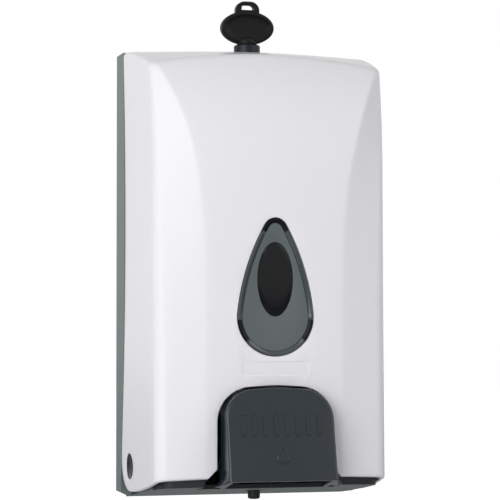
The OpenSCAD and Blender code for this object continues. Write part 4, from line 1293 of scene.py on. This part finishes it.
bow_side = [(-8.6, 1.75), (-5.5, 1.8)]
bow_side += [(grow, bow_face - low) for grow, low in ((-2.75, 1.35), (-2.5, 1.2), (-2.3, 0.15), (-2.0, 0),
                                                      (-1.2, 0), (-0.5, 0.2), (-0.12, 0.7), (0, 1.3))]
bow_section = bow_side + [(grow, -height) for grow, height in reversed(bow_side)]
loop_section = [(0, -1.9), (0.15, -2.2), (0.85, -2.2), (1, -1.7), (1, 1.7), (0.85, 2.2), (0.15, 2.2),
                (0, 1.9)]
neck_section = [(0, -0.2), (5.1, -0.2), (5.5, 0.2), (5.6, 1), (5.5, 2), (5, 3), (3.9, 3.7), (2, 4.1),
                (0, 4.2)]
bow = banded(bow_line, bow_section, in_key, ends=True)
key_loop = banded(loop_line, loop_section, in_key)
neck = turned([(radius, key_low + height) for radius, height in neck_section],
              lambda a, b, h: at(a, lock_d + b, h), 48)
blade = slab((-blade_half, lock_d - blade_t / 2, blade_low), (blade_half, lock_d + blade_t / 2, key_low))
piece("moulded_key", joined(bow, key_loop, neck, blade), "door_key", key_finish, "key")


# ---------------------------------------------------------------------------
# Studio: floor, lamps and camera.
# A pale floor well below the wall plate, three soft lamps, and a white surround that
# shines less from above.
# ---------------------------------------------------------------------------
floor_up = -0.36
floor_half = 8
floor_pale = (0.85, 0.85, 0.85)
floor_glow = 0.8
room_white = (0.97, 0.98, 1)
room_low = 0.66
room_high = 0.06
room_fade = 0.8
lens = 148.2
camera_at = (-0.2813, -1.1126, -0.02225)
camera_way = (0.2521, 0.9677, 0.0323)


def lamp(name, spot, aim, size, power):
    """A soft lamp at spot that shines on aim."""
    light = bpy.data.lights.new(name, "AREA")
    light.shape = "RECTANGLE"
    light.size, light.size_y = size
    light.energy = power
    thing = placed(name, light)
    thing.location = spot
    thing.rotation_euler = (Vector(aim) - Vector(spot)).to_track_quat("-Z", "Y").to_euler()


lamp("key_softbox", (-0.72, -0.82, 0.29), (0, -0.04, 0.03), (0.8, 0.9), 7.7)
lamp("right_fill", (0.74, -0.62, 0.5), (0, -0.04, 0.14), (0.7, 0.7), 2.3)
lamp("edge_strip", (-0.95, -0.3, 0.15), (0, -0.04, 0.15), (0.09, 0.9), 0.8)


def mixed(tree, share, first, second):
    """Two shaders mixed by a share."""
    mix = added(tree, "ShaderNodeMixShader", Fac=share)
    feed(tree, mix.inputs[1], first)
    feed(tree, mix.inputs[2], second)
    return mix.outputs["Shader"]


world = bpy.data.worlds.new("surround")
world.use_nodes = True
bpy.context.scene.world = world
tree = world.node_tree
tree.nodes.clear()
rays = added(tree, "ShaderNodeLightPath").outputs
seen = worked(tree, "MAXIMUM", rays["Is Camera Ray"], rays["Is Glossy Ray"])
seen = worked(tree, "MAXIMUM", seen, rays["Is Transmission Ray"])
way = added(tree, "ShaderNodeTexCoord").outputs["Generated"]
height = added(tree, "ShaderNodeSeparateXYZ", Vector=way).outputs["Z"]
fade = added(tree, "ShaderNodeMapRange", Value=height, From_Max=room_fade, To_Min=room_low, To_Max=room_high)
room = added(tree, "ShaderNodeBackground", Color=(*room_white, 1), Strength=fade.outputs["Result"])
white = added(tree, "ShaderNodeBackground", Color=(1, 1, 1, 1), Strength=1.0).outputs["Background"]
added(tree, "ShaderNodeOutputWorld", Surface=mixed(tree, seen, room.outputs["Background"], white))

floor_mesh = bpy.data.meshes.new("floor")
floor_corners = [(x * floor_half, y * floor_half, floor_up) for x, y in ((-1, -1), (1, -1), (1, 1), (-1, 1))]
floor_mesh.from_pydata(floor_corners, [], [(0, 1, 2, 3)])
placed("floor", floor_mesh)
floor_finish = bpy.data.materials.new("Pale floor")
floor_finish.use_nodes = True
tree = floor_finish.node_tree
shader = fitted(tree, tree.nodes["Principled BSDF"], Base_Color=(*floor_pale, 1), Roughness=0.7)
plain = shader.outputs["BSDF"]
glow = added(tree, "ShaderNodeEmission", Strength=floor_glow).outputs["Emission"]
lit = added(tree, "ShaderNodeAddShader")
feed(tree, lit.inputs[0], plain)
feed(tree, lit.inputs[1], glow)
seen = added(tree, "ShaderNodeLightPath").outputs["Is Camera Ray"]
fitted(tree, tree.nodes["Material Output"], Surface=mixed(tree, seen, plain, lit.outputs["Shader"]))
floor_mesh.materials.append(floor_finish)

view = bpy.data.cameras.new("camera")
view.lens = lens
camera = placed("camera", view)
camera.location = camera_at
camera.rotation_euler = Vector(camera_way).to_track_quat("-Z", "Y").to_euler()
bpy.context.scene.camera = camera
bpy.context.scene.view_settings.view_transform = "Standard"
